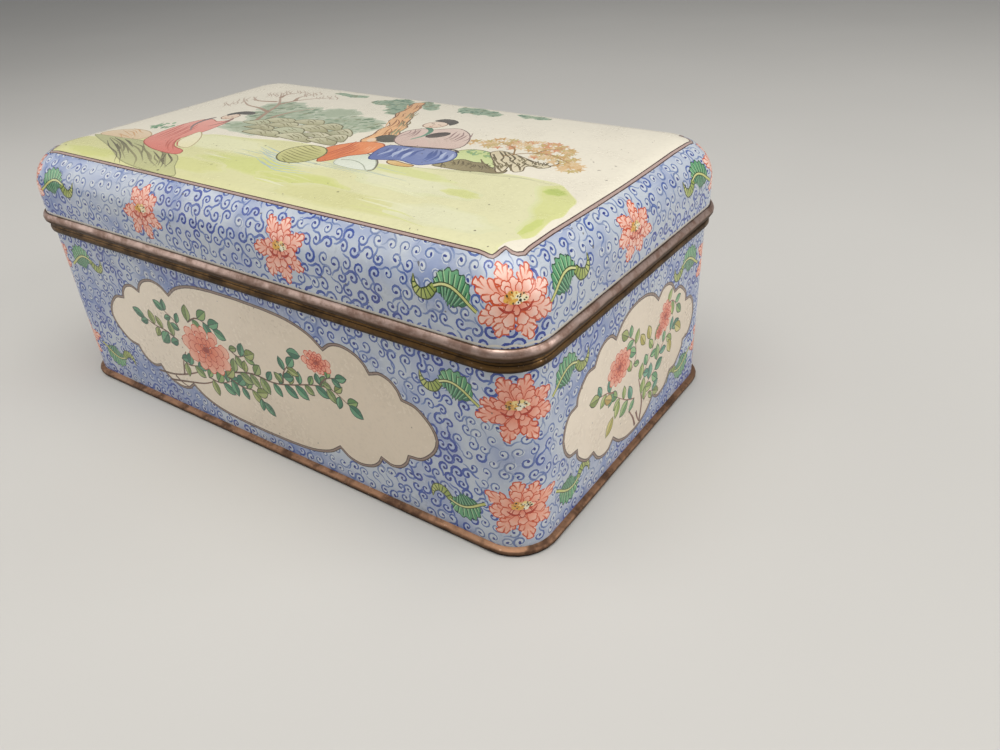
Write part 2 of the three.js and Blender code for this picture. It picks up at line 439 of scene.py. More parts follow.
def inset(points, depth):
    """A closed outline moved inward by a small depth."""
    before, after = np.roll(points, 1, axis=0), np.roll(points, -1, axis=0)
    first, second = points - before, after - points
    first = first / np.maximum(np.linalg.norm(first, axis=1), 1e-9)[:, None]
    second = second / np.maximum(np.linalg.norm(second, axis=1), 1e-9)[:, None]
    area = np.sum(points[:, 0] * after[:, 1] - after[:, 0] * points[:, 1])
    inward = np.stack([-(first + second)[:, 1], (first + second)[:, 0]], 1) * np.sign(area)
    size = np.maximum(np.sum(inward * inward, axis=1), 1.0)
    return points + inward * (2 * depth / size)[:, None]


def placed(points, at=(0, 0), turn=0.0, size=1.0, flip=1):
    """Points drawn at the origin, sized, turned and moved to their place, and mirrored if flip is -1."""
    points = np.asarray(points, float) * (size, size * flip)
    c, s = math.cos(turn), math.sin(turn)
    return points @ np.array([[c, s], [-s, c]]) + at


def oval(at, length, width, turn=0.0, count=10):
    angle = np.arange(count) * 2 * math.pi / count
    return placed(np.stack([np.cos(angle) * length / 2, np.sin(angle) * width / 2], 1), at, turn)


def within(spots, outline):
    """Whether each spot lies inside an outline, which may cross itself."""
    x, y = spots[:, :1], spots[:, 1:]
    (ax, ay), (bx, by) = outline.T, np.roll(outline, -1, axis=0).T
    side = (bx - ax) * (y - ay) - (x - ax) * (by - ay)
    rises = ((ay <= y) & (by > y) & (side > 0)).sum(1)
    falls = ((ay > y) & (by <= y) & (side < 0)).sum(1)
    return rises != falls


def cut(parts):
    """Triangles that keep every given line as an edge. Each part is a line's points and whether it closes."""
    edges, first = [], 0
    for outline, closed in parts:
        count = len(outline)
        edges += [(first + k, first + (k + 1) % count) for k in range(count if closed else count - 1)]
        first += count
    spots = np.concatenate([part[0] for part in parts])
    made = delaunay_2d_cdt([Vector(spot) for spot in spots.tolist()], edges, [], 0, 1e-6, False)
    return np.array([tuple(spot) for spot in made[0]]), np.array([face for face in made[2] if len(face) == 3])


def topmost(middles, outlines):
    """For each spot the number of the last outline that covers it, or -1 for bare ground."""
    owner = np.full(len(middles), -1)
    for number, outline in enumerate(outlines):
        near = np.nonzero(np.all((middles > outline.min(0)) & (middles < outline.max(0)), axis=1))[0]
        owner[near[within(middles[near], outline)]] = number
    return owner


def seen_edges(flat, faces, owner, box):
    """The edges where the top stroke changes, as short lines, without needless points on straight runs."""
    sides = np.sort(np.concatenate([faces[:, [0, 1]], faces[:, [1, 2]], faces[:, [2, 0]]]), axis=1)
    order = np.lexsort((sides[:, 1], sides[:, 0]))
    sides, owners = sides[order], np.tile(owner, 3)[order]
    twin = np.all(sides[1:] == sides[:-1], axis=1)
    alone = ~(np.append(twin, False) | np.insert(twin, 0, False))
    changes = np.append(twin & (owners[1:] != owners[:-1]), False)
    joined = {}
    for first, second in sides[alone | changes].tolist():
        joined.setdefault(first, set()).add(second)
        joined.setdefault(second, set()).add(first)
    left, right, low, high = box
    for point in list(joined):
        x, y = flat[point]
        if len(joined[point]) != 2 or min(x - left, right - x, y - low, high - y) < 1e-5:
            continue
        first, second = joined[point]
        ahead, behind = flat[second] - flat[point], flat[point] - flat[first]
        bend = abs(ahead[0] * behind[1] - ahead[1] * behind[0])
        straight = bend < 0.03 * np.linalg.norm(ahead) * np.linalg.norm(behind) and ahead @ behind > 0
        if straight and second not in joined[first]:
            for here, there in ((first, second), (second, first)):
                joined[here].discard(point)
                joined[here].add(there)
            del joined[point]
    return [(flat[[first, second]], False) for first in joined for second in joined[first] if first < second]


def lay(painting, tiles, guides, ground, period=0.0):
    """Cuts the unrolled surface into triangles along the strokes' visible edges, tile by tile. Gives
    each triangle's corners and the colour at each corner. The second cut leaves out hidden edges."""
    outlines = [stroke[0] for stroke in painting.strokes]
    shifts = (-period, 0.0, period) if period else (0.0,)
    lows = np.array([outline.min(0) for outline in outlines])
    highs = np.array([outline.max(0) for outline in outlines])
    corners, colours = [], []
    for left, right, low, high in tiles:
        keys = []
        for shift in shifts:
            near = (lows[:, 0] + shift <= right + 1e-6) & (highs[:, 0] + shift >= left - 1e-6)
            near &= (lows[:, 1] <= high + 1e-6) & (highs[:, 1] >= low - 1e-6)
            keys += [(number, shift) for number in np.nonzero(near)[0]]
        keys.sort()
        here = [outlines[number] + (shift, 0) for number, shift in keys]
        least, most = np.array((left, low)) - 1e-6, np.array((right, high)) + 1e-6
        lines = [(np.array([(left, low), (right, low), (right, high), (left, high)], float), True)]
        lines += [(guide, False) for guide in guides if np.all(guide.max(0) >= least)
            and np.all(guide.min(0) <= most)]
        flat, faces = cut(lines + [(outline, True) for outline in here])
        for again in (True, False):
            middles = flat[faces].mean(1)
            kept = (middles[:, 0] > left) & (middles[:, 0] < right) & (middles[:, 1] > low) & (middles[:,
                1] < high)
            faces, middles = faces[kept], middles[kept]
            owner = topmost(middles, here)
            if again:
                shown = np.unique(owner[owner >= 0])
                keys, here = [keys[k] for k in shown], [here[k] for k in shown]
                flat, faces = cut(lines + seen_edges(flat, faces, owner, (left, right, low, high)))
        spread = flat[faces]
        shade = ground(spread.reshape(-1, 2)).reshape(len(faces), 3, 4)
        for rank in np.unique(owner[owner >= 0]):
            number, shift = keys[rank]
            tones, start, reach = painting.strokes[number][1:]
            mine = owner == rank
            share = np.clip((spread[mine] - start - (shift, 0)) @ reach, 0, 1)[..., None]
            shade[mine] = tones[0] * (1 - share) + tones[1] * share
        corners.append(spread)
        colours.append(shade)
    return np.concatenate(corners), np.concatenate(colours)


# The scrolls that cover the blue ground: small curls, each begun with a loaded brush at its eye
# and drawn round and out to meet a neighbour. The wash under them is thin and uneven.
def drift(spots, size, seed):
    """Soft uneven patches over a surface, from 0 to 1."""
    table = np.random.default_rng(seed).random((64, 64))
    cell = spots / size + 1000
    base = np.floor(cell).astype(int)
    part = cell - base
    part = part * part * (3 - 2 * part)
    columns, rows = base[:, 0] % 64, base[:, 1] % 64
    lower = table[columns, rows] * (1 - part[:, 0]) + table[(columns + 1) % 64, rows] * part[:, 0]
    rows = (rows + 1) % 64
    upper = table[columns, rows] * (1 - part[:, 0]) + table[(columns + 1) % 64, rows] * part[:, 0]
    return lower * (1 - part[:, 1]) + upper * part[:, 1]


def wash(halos, deepen):
    """The blue ground: pale grey blue with stronger patches, and paler round the flowers."""
    pale, plain, strong = (np.array(ink(code)) for code in ("c1c9d4", "a6b1cc", "7c8fbe"))

    def ground(spots):
        patches = drift(spots, 9.0, 5) * 0.6 + drift(spots, 3.6, 6) * 0.4
        shade = np.clip((patches - 0.36) * 2.0 + deepen(spots), 0, 1)
        for centre, reach in halos:
            away = np.linalg.norm((spots - centre) / reach, axis=1)
            shade = shade * np.clip((away - 0.7) / 0.55, 0.15, 1)
        shade = shade[:, None]
        lower = pale * (1 - np.minimum(shade * 2, 1)) + plain * np.minimum(shade * 2, 1)
        return lower * (1 - np.clip(shade * 2 - 1, 0, 1)) + strong * np.clip(shade * 2 - 1, 0, 1)

    return ground


SCROLL_BLUES = (("17256f", "2a4298", "4d66ae", "b1bdd8"), ("1a2b7c", "36509f", "687fb8", "b9c4d9"),
                ("1e3084", "4b62a3", "7c91bd", "c2cbd8"), ("263888", "6378aa", "90a0c1", "c9d0d9"),
                ("304188", "7686ac", "a0acc4", "ccd2d9"))
SCROLL_WEIGHTS = (1.0, 0.9, 0.78, 0.68, 0.6)
SCROLL_PITCH = 3.75


def curl(painting, chance, at, size, tone):
    """One scroll: a pale patch, the coiled stroke with its tail, and the drop of blue at its eye."""
    turn = chance.uniform(0, 2 * math.pi)
    flip = 1 if chance.random() < 0.72 else -1
    rounds = chance.uniform(0.98, 1.2) * 2 * math.pi
    angle = np.linspace(0.5, rounds, 11)
    reach = size * (0.2 + 0.8 * (angle / rounds) ** 0.9)
    squash = chance.uniform(0.82, 1.0)
    round_part = np.stack([reach * np.cos(angle), reach * np.sin(angle) * squash], 1)
    onward = round_part[-1] - round_part[-2]
    onward /= np.linalg.norm(onward)
    outward = round_part[-1] / np.linalg.norm(round_part[-1])
    tail = [round_part[-1] + size * (onward * 0.36 + outward * 0.14),
            round_part[-1] + size * (onward * 0.6 + outward * 0.46)]
    points = placed(np.concatenate([round_part, tail]), at, turn, 1.0, flip)
    widths = size * np.array([0.22, 0.23, 0.27, 0.31, 0.35, 0.38, 0.4, 0.41, 0.41, 0.4, 0.37, 0.33, 0.2])
    deep, dark, light, paper_tone = SCROLL_BLUES[tone]
    painting.fill(oval(placed([(-0.1 * size, 0)], at, turn, 1.0, flip)[0], 1.5 * size, 1.3 * size * squash,
        turn, 8), paper_tone)
    painting.line(points, widths * SCROLL_WEIGHTS[tone] * chance.uniform(0.85, 1.15), dark, light)
    eye = placed([(0.16 * size, 0.06 * size)], at, turn, 1.0, flip)[0]
    painting.fill(oval(eye, size * chance.uniform(0.42, 0.68), size * chance.uniform(0.34, 0.48),
        turn + chance.uniform(0.3, 1.4), 7), deep)


def scroll_ground(painting, chance, length, low, high, skip, tone_at):
    """Curls in rows, staggered and a little uneven, left out where something else is painted."""
    columns = round(length / SCROLL_PITCH)
    rows = int((high - low) / (SCROLL_PITCH * 0.85)) + 2
    for row in range(rows):
        for column in range(columns):
            x = (column + 0.5 * (row % 2) + chance.uniform(-0.17, 0.17)) * length / columns - length / 2
            y = low + (row - 0.3 + chance.uniform(-0.15, 0.15)) * SCROLL_PITCH * 0.86
            if y > high + 0.6 or skip(x, y):
                continue
            tone = int(np.clip(tone_at(x, y) + chance.gauss(0, 0.75), 0, 4.4))
            curl(painting, chance, np.array([x, y]), chance.uniform(1.52, 1.92), tone)


# The flowers and leaves: peonies in iron red over white, every petal notched and edged with a
# fine brush, with a pollen patch at the heart, and green leaves with a curled yellow tip.
def petal(length, width, depth, count):
    """The outline of a petal with a scalloped tip, lying along x from the origin."""
    angle = np.arange(count) * 2 * math.pi / count - math.pi
    notch = 1 - depth * (0.35 + 0.65 * (1 + np.cos(angle)) / 2) * (1 - np.abs(np.cos(angle * count / 8)))
    x = length * (0.52 + 0.48 * np.cos(angle) * notch)
    y = width / 2 * np.sin(angle) * (0.74 + 0.26 * np.cos(angle)) * notch
    return np.stack([x, y], 1)


def draw_petal(painting, at, turn, root, length, width, tones, line, count):
    """A plain petal: its dark outline, and inside it a run of colour from root to tip."""
    edge = petal(length, width, 0.24, count) + (root, 0)
    centre = np.array([root + length * 0.5, 0])
    inner = (edge - centre) * (1 - 2 * line / length, 1 - 2 * line / width) + centre
    painting.fill(placed(edge, at, turn), tones[0])
    ends = placed([(root, 0), (root + length * 0.95, 0)], at, turn)
    painting.fill(placed(inner, at, turn), tones[1], tones[2], ends[0], ends[1])


LOBED_PETAL = np.array([(0.0, 0.12), (0.17, 0.28), (0.3, 0.44), (0.38, 0.35), (0.47, 0.52), (0.6, 0.49),
    (0.63, 0.35), (0.73, 0.42), (0.83, 0.33), (0.86, 0.2), (0.95, 0.2), (1.0, 0.0)])
LOBED_PETAL = np.concatenate([LOBED_PETAL, (LOBED_PETAL * (1, -1))[-2::-1]])


def lobed_petal(painting, chance, at, turn, root, length, width, tones):
    """One outer petal: lobed at the tip, edged in red, with pale flecks in the lobes and fine veins."""
    jitter = np.array([(chance.uniform(-0.28, 0.28), chance.uniform(-0.22, 0.22)) for _ in LOBED_PETAL])
    edge = smooth(LOBED_PETAL * (length, width) + jitter + (root, 0), 2, True)
    painting.fill(placed(edge, at, turn), tones[0])
    ends = placed([(root, 0), (root + length * 0.95, 0)], at, turn)
    painting.fill(placed(inset(edge, 0.34), at, turn), tones[1], tones[2], ends[0], ends[1])
    for side in (-1, 1):
        for far, out, back, inward in ((0.38, 0.33, 0.14, 0.1), (0.63, 0.33, 0.38, 0.08),
                (0.86, 0.18, 0.62, 0.05)):
            fold = [(root + length * far, side * width * out),
                    (root + length * (far + back) * 0.5, side * width * (out * 0.35 + inward * 0.5)),
                    (root + length * back, side * width * inward)]
            painting.line(placed(fold, at, turn), (0.42, 0.36, 0.1), tones[0], tones[1])
    for side in (-1, 0, 1):
        along = root + length * (0.84 if side == 0 else 0.64) + chance.uniform(-0.4, 0.4)
        fleck = (along, side * width * 0.33 + chance.uniform(-0.2, 0.2))
        long, wide, lean = chance.uniform(0.7, 1.1), chance.uniform(0.34,
            0.5), side * 0.6 + chance.uniform(-0.4, 0.4)
        painting.fill(placed(oval(fleck, long, wide, lean, 7), at, turn), "f8cdbb")


PEONY_REDS = (("c44626", "e68265", "f4b8a2"), ("bd3f23", "e0795e", "efac96"), ("ca4e2a", "e9896b", "f4bfa8"))
PEONY_PINKS = (("cd512a", "ef9b80", "fcd8c8"), ("c84b2a", "ed9278", "facfbd"), ("d35b30", "f2a489", "fcddcf"))


def flower(painting, chance, at, size=1.0, squash=1.0, turn=0.0, arms=8, shades=PEONY_REDS):
    """A peony seen from the front: three rings of petals, pollen with dark specks, two red strokes."""
    tones = chance.choice(shades)
    for arm in range(arms):
        angle = turn + (arm + chance.uniform(-0.13, 0.13)) * 2 * math.pi / arms
        stretch = math.hypot(math.cos(angle), math.sin(angle) * squash)
        length = size * chance.uniform(6.4, 8.6) * stretch
        angle += chance.uniform(-0.12, 0.12)
        lobed_petal(painting, chance, at, angle, 1.5 * size, length, size * chance.uniform(3.9, 4.9), tones)
    for arm in range(9):
        angle = turn + 0.4 + (arm + chance.uniform(-0.2, 0.2)) * 2 * math.pi / 9
        stretch = math.hypot(math.cos(angle), math.sin(angle) * squash)
        draw_petal(painting, at, angle, 1.6 * size, size * chance.uniform(3.3, 4.3) * stretch,
                   size * chance.uniform(3.0, 3.8), tones, 0.3, 20)
    for arm in range(7):
        angle = turn + (arm + chance.uniform(-0.15, 0.15)) * 2 * math.pi / 7
        draw_petal(painting, at + np.array([0, 0.5 * size]), angle, 0.9 * size,
            size * chance.uniform(2.2, 2.8), size * 2.2, (tones[0], "e4775a", tones[2]), 0.26, 14)
    for arm in range(3):
        angle = -math.pi / 2 + (arm - 1) * 0.85
        draw_petal(painting, at + np.array([0, 0.4 * size]), angle, 0.3 * size, size * 2.7, size * 2.3,
                   ("ae3218", "e0694c", "f3b8a0"), 0.3, 14)
    heart = at + np.array([0.0, 0.9 * size])
    painting.fill(oval(heart, 4.8 * size, 2.3 * size, 0.1, 12), "e5a877")
    for dab in range(15):
        angle = dab * 2.4 + chance.uniform(-0.3, 0.3)
        spot = heart + np.array([math.cos(angle) * 2.3,
            math.sin(angle) * 1.05]) * size * math.sqrt((dab + 0.5) / 15)
        tone = ("f4ecd2", "efd48a", "e3b04f", "f2e4bc", "d99a45")[dab % 5]
        long, wide = chance.uniform(1.1, 1.6) * size, chance.uniform(0.7, 1.0) * size
        painting.fill(oval(spot, long, wide, chance.uniform(-0.6, 0.6), 7), tone)
    for speck in range(24):
        angle = chance.uniform(0, 2 * math.pi)
        away = math.sqrt(chance.random())
        spot = heart + np.array([math.cos(angle) * 2.3, math.sin(angle) * 1.15]) * size * away
        tone = ("2a2a1e", "c9842e", "2f3a22", "3a3220")[speck % 4]
        painting.fill(oval(spot, 0.5 * size, 0.34 * size, angle, 5), tone)
    for bend in ([(0.6, -1.4), (2.4, -1.2), (3.6, 0.0)], [(-3.4, -0.6), (-2.0, -1.6), (-0.4, -1.5)]):
        painting.line(smooth(placed(bend, at, 0, size), 3), (0.2, 0.5, 0.6, 0.6, 0.5, 0.36, 0.2), "b02f18")


def spine_at(spine, share):
    """The points at given shares of a curve, and the directions to its left there."""
    def at(step):
        return np.stack([np.interp(step, np.arange(len(spine)), spine[:, k]) for k in (0, 1)], -1)

    step = np.asarray(share) * (len(spine) - 1)
    along = at(step + 0.5) - at(step - 0.5)
    along /= np.linalg.norm(along, axis=-1, keepdims=True)
    return at(step), np.stack([-along[..., 1], along[..., 0]], -1)


def leaf(painting, chance, at, turn, size=1.0, flip=1):
    """A scroll leaf, drawn from its stem's foot out to its curled tip."""
    def put_down(points):
        return placed(points, at, turn, size, flip)

    spine = smooth([(1.2, 0.9), (3.8, 2.7), (6.8, 3.5), (9.7, 2.6)], 5)
    share = np.linspace(0, 1, 29)
    centre, out = spine_at(spine, share)
    spread = np.sin(math.pi * np.clip(share, 0, 1) ** 0.85) ** 0.7 * (0.72 + 0.28
        * np.abs(np.sin(share * math.pi * 7 + 0.3)))
    for side, width, tones in ((1, 3.9, ("489063", "70af7f")), (-1, 4.2, ("276847", "458c66"))):
        rim_line = centre + out * (spread * width * side)[:, None]
        painting.fill(put_down(np.concatenate([centre, rim_line[::-1]])), "1d4433")
        low_line = centre + out * (np.maximum(spread * width - 0.3, 0) * side)[:, None]
        blade = put_down(np.concatenate([centre, low_line[::-1]]))
        painting.fill(blade, tones[0], tones[1], blade[0], blade[28])
        for vein in (0.1, 0.21, 0.32, 0.43, 0.54, 0.65, 0.76, 0.87):
            foot, away = spine_at(spine, [vein, min(vein + 0.05, 1)])
            reach = float(np.interp(vein, share, spread)) * width * 0.86 * side
            tone = "a8d09c" if side > 0 else "84b88e"
            painting.line(put_down([foot[0] + (0.34, 0), foot[1] + away[1] * reach + (0.3, 0)]),
                (0.34, 0.2), "1f5038")
            painting.line(put_down([foot[0], foot[1] + away[1] * reach]), (0.34, 0.18), tone)
    tip = smooth([(9.3, 2.7), (10.9, 1.0), (12.9, 0.6), (14.3, 1.9), (14.7, 4.0)], 4)
    widths = np.interp(np.linspace(0, 1, len(tip)), [0, 0.3, 0.65, 1], [2.0, 2.7, 2.0, 0.3])
    painting.line(put_down(tip), widths * size, "2f3d1a")
    painting.line(put_down(tip), np.maximum(widths - 0.6, 0.1) * size, "93a648", "cdd182")
    for cross in (0.1, 0.22, 0.34, 0.46, 0.58, 0.7, 0.82):
        foot, away = spine_at(tip, [cross, cross])
        reach = float(np.interp(cross, [0, 0.3, 0.65, 1], [1.0, 1.3, 1.0, 0.2]))
        painting.line(put_down([foot[0] - away[0] * reach, foot[0] + away[0] * reach]), 0.3 * size, "3f5426")
    stem = smooth([(-0.6, -0.3), (1.2, 0.9), (3.2, 2.3), (5.4, 3.3), (7.6, 3.4), (9.6, 2.7)], 3)
    painting.line(put_down(stem), 0.95 * size, "2f4a26")
    painting.line(put_down(stem), np.linspace(0.6, 0.4, len(stem)) * size, "c3c468", "e0e0a0")


LEAF_GREENS = (("1f4a37", "367a58", "6aa67c"), ("1d4d3b", "2c6e53", "5a9874"), ("47502a", "7d8f43", "a9b46c"),
               ("2b4c31", "5a8a4c", "8fae66"), ("3a4c2c", "6f8a48", "9fb070"))


def leaflet(painting, chance, at, turn, length, tone=None):
    """A small leaf of a cut spray: two halves of a different green either side of the midrib."""
    tones = tone or chance.choice(LEAF_GREENS)
    length *= 1.12
    width = length * chance.uniform(0.54, 0.68)
    share = np.linspace(0, 1, 7)
    swell = np.sin(math.pi * share ** 0.95) ** 0.8 * width / 2
    upper, lower = np.stack([share * length, swell], 1), np.stack([share * length, -swell], 1)
    painting.fill(placed(np.concatenate([lower, upper[-2:0:-1]]), at, turn), tones[0])
    shrink = np.maximum(swell - 0.24, 0)
    long = share * (length - 0.5) + 0.2
    first = np.concatenate([np.stack([long, share * 0], 1), np.stack([long, shrink], 1)[-2:0:-1]])
    second = np.concatenate([np.stack([long, -shrink], 1), [(long[3], 0.05)]])
    painting.fill(placed(first, at, turn), tones[1])
    painting.fill(placed(second, at, turn), tones[2])
    painting.line(placed([(0, 0), (length * 0.9, 0)], at, turn), (0.3, 0.12), tones[0])


# The painted body: a copper box raised from sheet, coated with white enamel inside and out, then
# painted and fired again. Its four cream panels sit in the blue scroll ground with lobed borders.
BODY_BOTTOM = 1.4
BODY_TOP = 51.2
BODY_WALL = 1.6
BODY_FLOOR_TOP = 3.2
FLOOR_FILLET = 4.0
CORE_HALF = (BODY_HALF[0] - BODY_HALF[2], BODY_HALF[1] - BODY_HALF[2])
BODY_ROUND = sum(walk_lengths(BODY_HALF))
FRONT_CORNER = CORE_HALF[0] + BODY_HALF[2] * math.pi / 4
BACK_CORNER = FRONT_CORNER + 2 * CORE_HALF[1] + BODY_HALF[2] * math.pi / 2
BODY_CORNERS = (FRONT_CORNER, BACK_CORNER, -FRONT_CORNER, -BACK_CORNER)
FLOWER_LEVELS = (41.6, 13.4)
SIDE_MIDDLE = (FRONT_CORNER + BACK_CORNER) / 2
BORDER_TONES = ("483832", "927c70", "4e3d36")
PANEL_CREAMS_LIT_TO_SHADED = ("f6e8d4", "e4d4be")


def lobed(lobes):
    """A panel outline from the lobes of one quarter, the cusps between them kept sharp."""
    quarter = np.concatenate([smooth(lobe, 4)[:-1] for lobe in lobes] + [np.array([lobes[-1][-1]], float)])
    upper = np.concatenate([quarter[::-1], (quarter * (-1, 1))[1:]])
    return np.concatenate([upper, (upper * (1, -1))[-2:0:-1]])


LONG_PANEL = lobed([
    [(0, 21.2), (10, 21.0), (19, 20.1), (25.6, 18.0), (29.6, 15.2)],
    [(29.6, 15.2), (32.4, 17.2), (36.4, 17.9), (40.6, 16.8), (43.2, 14.8), (44.4, 12.9)],
    [(44.4, 12.9), (47.4, 13.8), (50.6, 12.9), (52.8, 10.8), (53.8, 8.6)],
    [(53.8, 8.6), (57.6, 7.9), (61.0, 5.1), (62.8, 2.4), (63.4, 0)]])
SHORT_PANEL = lobed([
    [(0, 20.2), (4.6, 19.7), (8.8, 18.0), (11.8, 15.4)],
    [(11.8, 15.4), (14.2, 17.2), (17.4, 17.3), (20.4, 15.9), (22.6, 13.0)],
    [(22.6, 13.0), (25.8, 13.0), (28.8, 10.9), (30.6, 8.8), (31.0, 6.9)],
    [(31.0, 6.9), (34.2, 6.3), (36.4, 3.5), (37.3, 0)]])
BODY_PANELS = ((0, LONG_PANEL, 26.3), (BODY_ROUND / 2, LONG_PANEL, 26.3),
               (SIDE_MIDDLE + 2, SHORT_PANEL, 25.2), (-SIDE_MIDDLE - 2, SHORT_PANEL, 25.2))


def panel(painting, outline, centre):
    """A cream field inside a brown double line; the cream is painted lighter at the upper left and darker at
    the lower right, as light and shade.
    """
    for depth, tone in zip((0.0, 0.26, 0.7), BORDER_TONES):
        painting.fill(inset(outline, depth) + centre, tone)
    # The cream runs from lighter at the upper left to darker at the lower right: painted light and shade.
    ends = np.array(centre) + (-44, 12), np.array(centre) + (30, -16)
    painting.fill(inset(outline, 0.96) + centre, *PANEL_CREAMS_LIT_TO_SHADED, *ends)


def peony(painting, chance, at, long, high):
    """A full garden bloom: rings of scalloped petals, each ring laid over the one outside it."""
    for count, root, length, width, tones in ((11, 0.46, 0.56, 0.66, ("cf4f34", "ee8a6c", "f6bfa6")),
                                              (10, 0.26, 0.5, 0.52, ("c64328", "e77658", "f2a78c")),
                                              (8, 0.1, 0.42, 0.4, ("bd3b20", "e26a48", "ec9272")),
                                              (5, 0.0, 0.26, 0.28, ("a83019", "d25734", "e07854"))):
        for arm in range(count):
            angle = (arm + chance.uniform(-0.2, 0.2) + root) * 2 * math.pi / count
            reach = 1 / math.hypot(math.cos(angle) / long * 2, math.sin(angle) / high * 2)
            draw_petal(painting, np.array(at), angle, root * reach, length * reach, width * reach, tones,
                0.28, 14)
    painting.fill(oval(at, long * 0.16, high * 0.13, 0.3, 8), "9e2f1a")


TWIG_BARK = ("5d4033", "84604c")


def sprig(painting, chance, points, size, gap, bark=TWIG_BARK, width=0.6, tones=None):
    """A twig with leaves set either side in turn."""
    twig = smooth(points, 4)
    painting.line(twig, np.linspace(width, width * 0.5, len(twig)), *bark)
    lengths = np.concatenate([[0], np.cumsum(np.linalg.norm(np.diff(twig, axis=0), axis=1))])
    side, distance = 1, 0.0
    while distance < lengths[-1]:
        spot = np.array([np.interp(distance, lengths, twig[:, k]) for k in (0, 1)])
        ahead = np.array([np.interp(distance + 0.6, lengths, twig[:, k]) for k in (0, 1)]) - spot
        turn = math.atan2(ahead[1], ahead[0] + 1e-6) + side * chance.uniform(0.7, 1.25)
        leaflet(painting, chance, spot, turn, size * chance.uniform(0.8, 1.2), tones and chance.choice(tones))
        side, distance = -side, distance + gap * chance.uniform(0.75, 1.2)
    last = twig[-1] - twig[-3]
    leaflet(painting, chance, twig[-1], math.atan2(last[1], last[0]), size * 1.1)


def long_spray(painting, chance, middle, facing):
    """A peony branch lying along a long panel."""
    def on(points):
        return np.array(points, float) * (facing, 1) + (middle, 0)

    for twig in ([(-46, 11.6), (-38, 12.6), (-29, 15.6), (-20, 20)],
            [(-41, 9.8), (-34, 11.4), (-24, 13.8), (-18, 16.6)], [(-33, 13.8), (-31.5, 19), (-29, 23)],
            [(-38, 12.2), (-35, 10.4), (-31, 9.6)]):
        painting.line(smooth(on(twig), 4), np.linspace(0.75, 0.35, (len(twig) - 1) * 4 + 1), *TWIG_BARK)
    for twig, size, gap in (([(-31, 26), (-36, 28), (-41, 28.6), (-45, 30)], 4.6, 2.5),
            ([(-29, 30), (-30, 32.5), (-34, 35)], 4.0, 2.2),
            ([(-32, 20), (-29, 18.6), (-25, 19.4)], 4.2, 2.2),
            ([(-21, 17), (-16, 16.6), (-11, 18.6)], 4.2, 2.4),
            ([(-12, 20), (-6, 18.5), (-1, 18.8), (2, 16.4)], 4.4, 2.2),
            ([(-8, 30), (-5, 28.6), (-2, 29.6)], 4.2, 2.2),
            ([(-24, 34), (-19, 36.4), (-13, 34.6)], 4.4, 2.6),
            ([(-8, 22.6), (0, 24.6), (8, 24.4), (15, 26), (23, 28.6), (30, 29.6), (35.5, 26.8)], 4.3, 2.3),
            ([(12, 25.6), (13, 29), (15, 31.6)], 3.8, 2.2),
            ([(26, 29.6), (29, 32.4), (32, 33.4)], 3.6, 2.2)):
        sprig(painting, chance, on(twig), size, gap)
    leaflet(painting, chance, on([(21, 36.4)])[0], math.pi * (0.5 + 0.5 * facing), 4.6)
    peony(painting, chance, on([(-18.6, 26.6)])[0], 20.5, 15.2)
    peony(painting, chance, on([(26.4, 36.2)])[0], 10.5, 6.4)


def short_spray(painting, chance, middle, facing):
    """Two flowering stems rising up a short panel."""
    def on(points):
        return np.array(points, float) * (facing, 1) + (middle, 0)

    for twig in ([(3, 6.6), (1.6, 10), (-0.8, 13.4)], [(5.6, 6.4), (6.6, 12), (5.4, 17), (4, 21)],
            [(3.4, 11), (4.2, 8.8), (5.4, 6.6)]):
        painting.line(smooth(on(twig), 4), np.linspace(1.0, 0.4, (len(twig) - 1) * 4 + 1), "6b4338", "8a6052")
    olive = (("6b6a2c", "b0a544", "d2c67c"), ("6a5a2c", "c0a050", "d9c47e"), ("55682e", "94a84c", "c2cb80"))
    mixed = (("2f5f42", "5f9a68", "8fbd84"), ("2a5a4a", "468a72", "74ac90"), ("4e6a30", "8aa450", "bac67e"),
        ("35593a", "6d9a58", "a4c07e"))
    for twig, size, gap in (([(2, 16), (-3, 18.4), (-8, 22)], 4.3, 2.4),
            ([(-10, 24.6), (-14, 26.6), (-17.5, 27.4)], 4.4, 2.4),
            ([(-1, 26), (1.6, 29), (0.6, 34), (-3, 37)], 4.0, 2.6),
            ([(6, 15), (10, 17), (14, 18.4)], 4.2, 2.5), ([(8, 12), (11, 13), (13.4, 12)], 3.8, 2.6),
            ([(5, 20), (10, 24), (13, 28)], 4.2, 2.6), ([(15, 21), (19, 25), (24, 26.4)], 4.0, 2.6),
            ([(20, 36), (23.4, 35.4), (26, 33)], 4.2, 2.6)):
        sprig(painting, chance, on(twig), size, gap, ("8a5a4a", "b08070"), 0.45, mixed)
    for spot, turn, length in (((-10, 17.5), -2.3, 5.4), ((-7, 20.6), -2.0, 4.6), ((-11, 23), 2.6, 4.4),
            ((7, 30), 2.2, 4.8), ((26, 27), -0.7, 5.2), ((22, 24), -1.2, 4.8), ((10, 30), 1.9, 4.6)):
        turn = turn if facing > 0 else math.pi - turn
        leaflet(painting, chance, on([spot])[0], turn, length, chance.choice(olive))
    peony(painting, chance, on([(-7.4, 30.6)])[0], 12.4, 9.6)
    peony(painting, chance, on([(19, 32.6)])[0], 7.6, 9.4)
    peony(painting, chance, on([(15.6, 29.4)])[0], 4.6, 4.0)


def round_gap(x, middle, whole):
    """How far x lies past the middle, the shorter way round."""
    return (x - middle + whole / 2) % whole - whole / 2


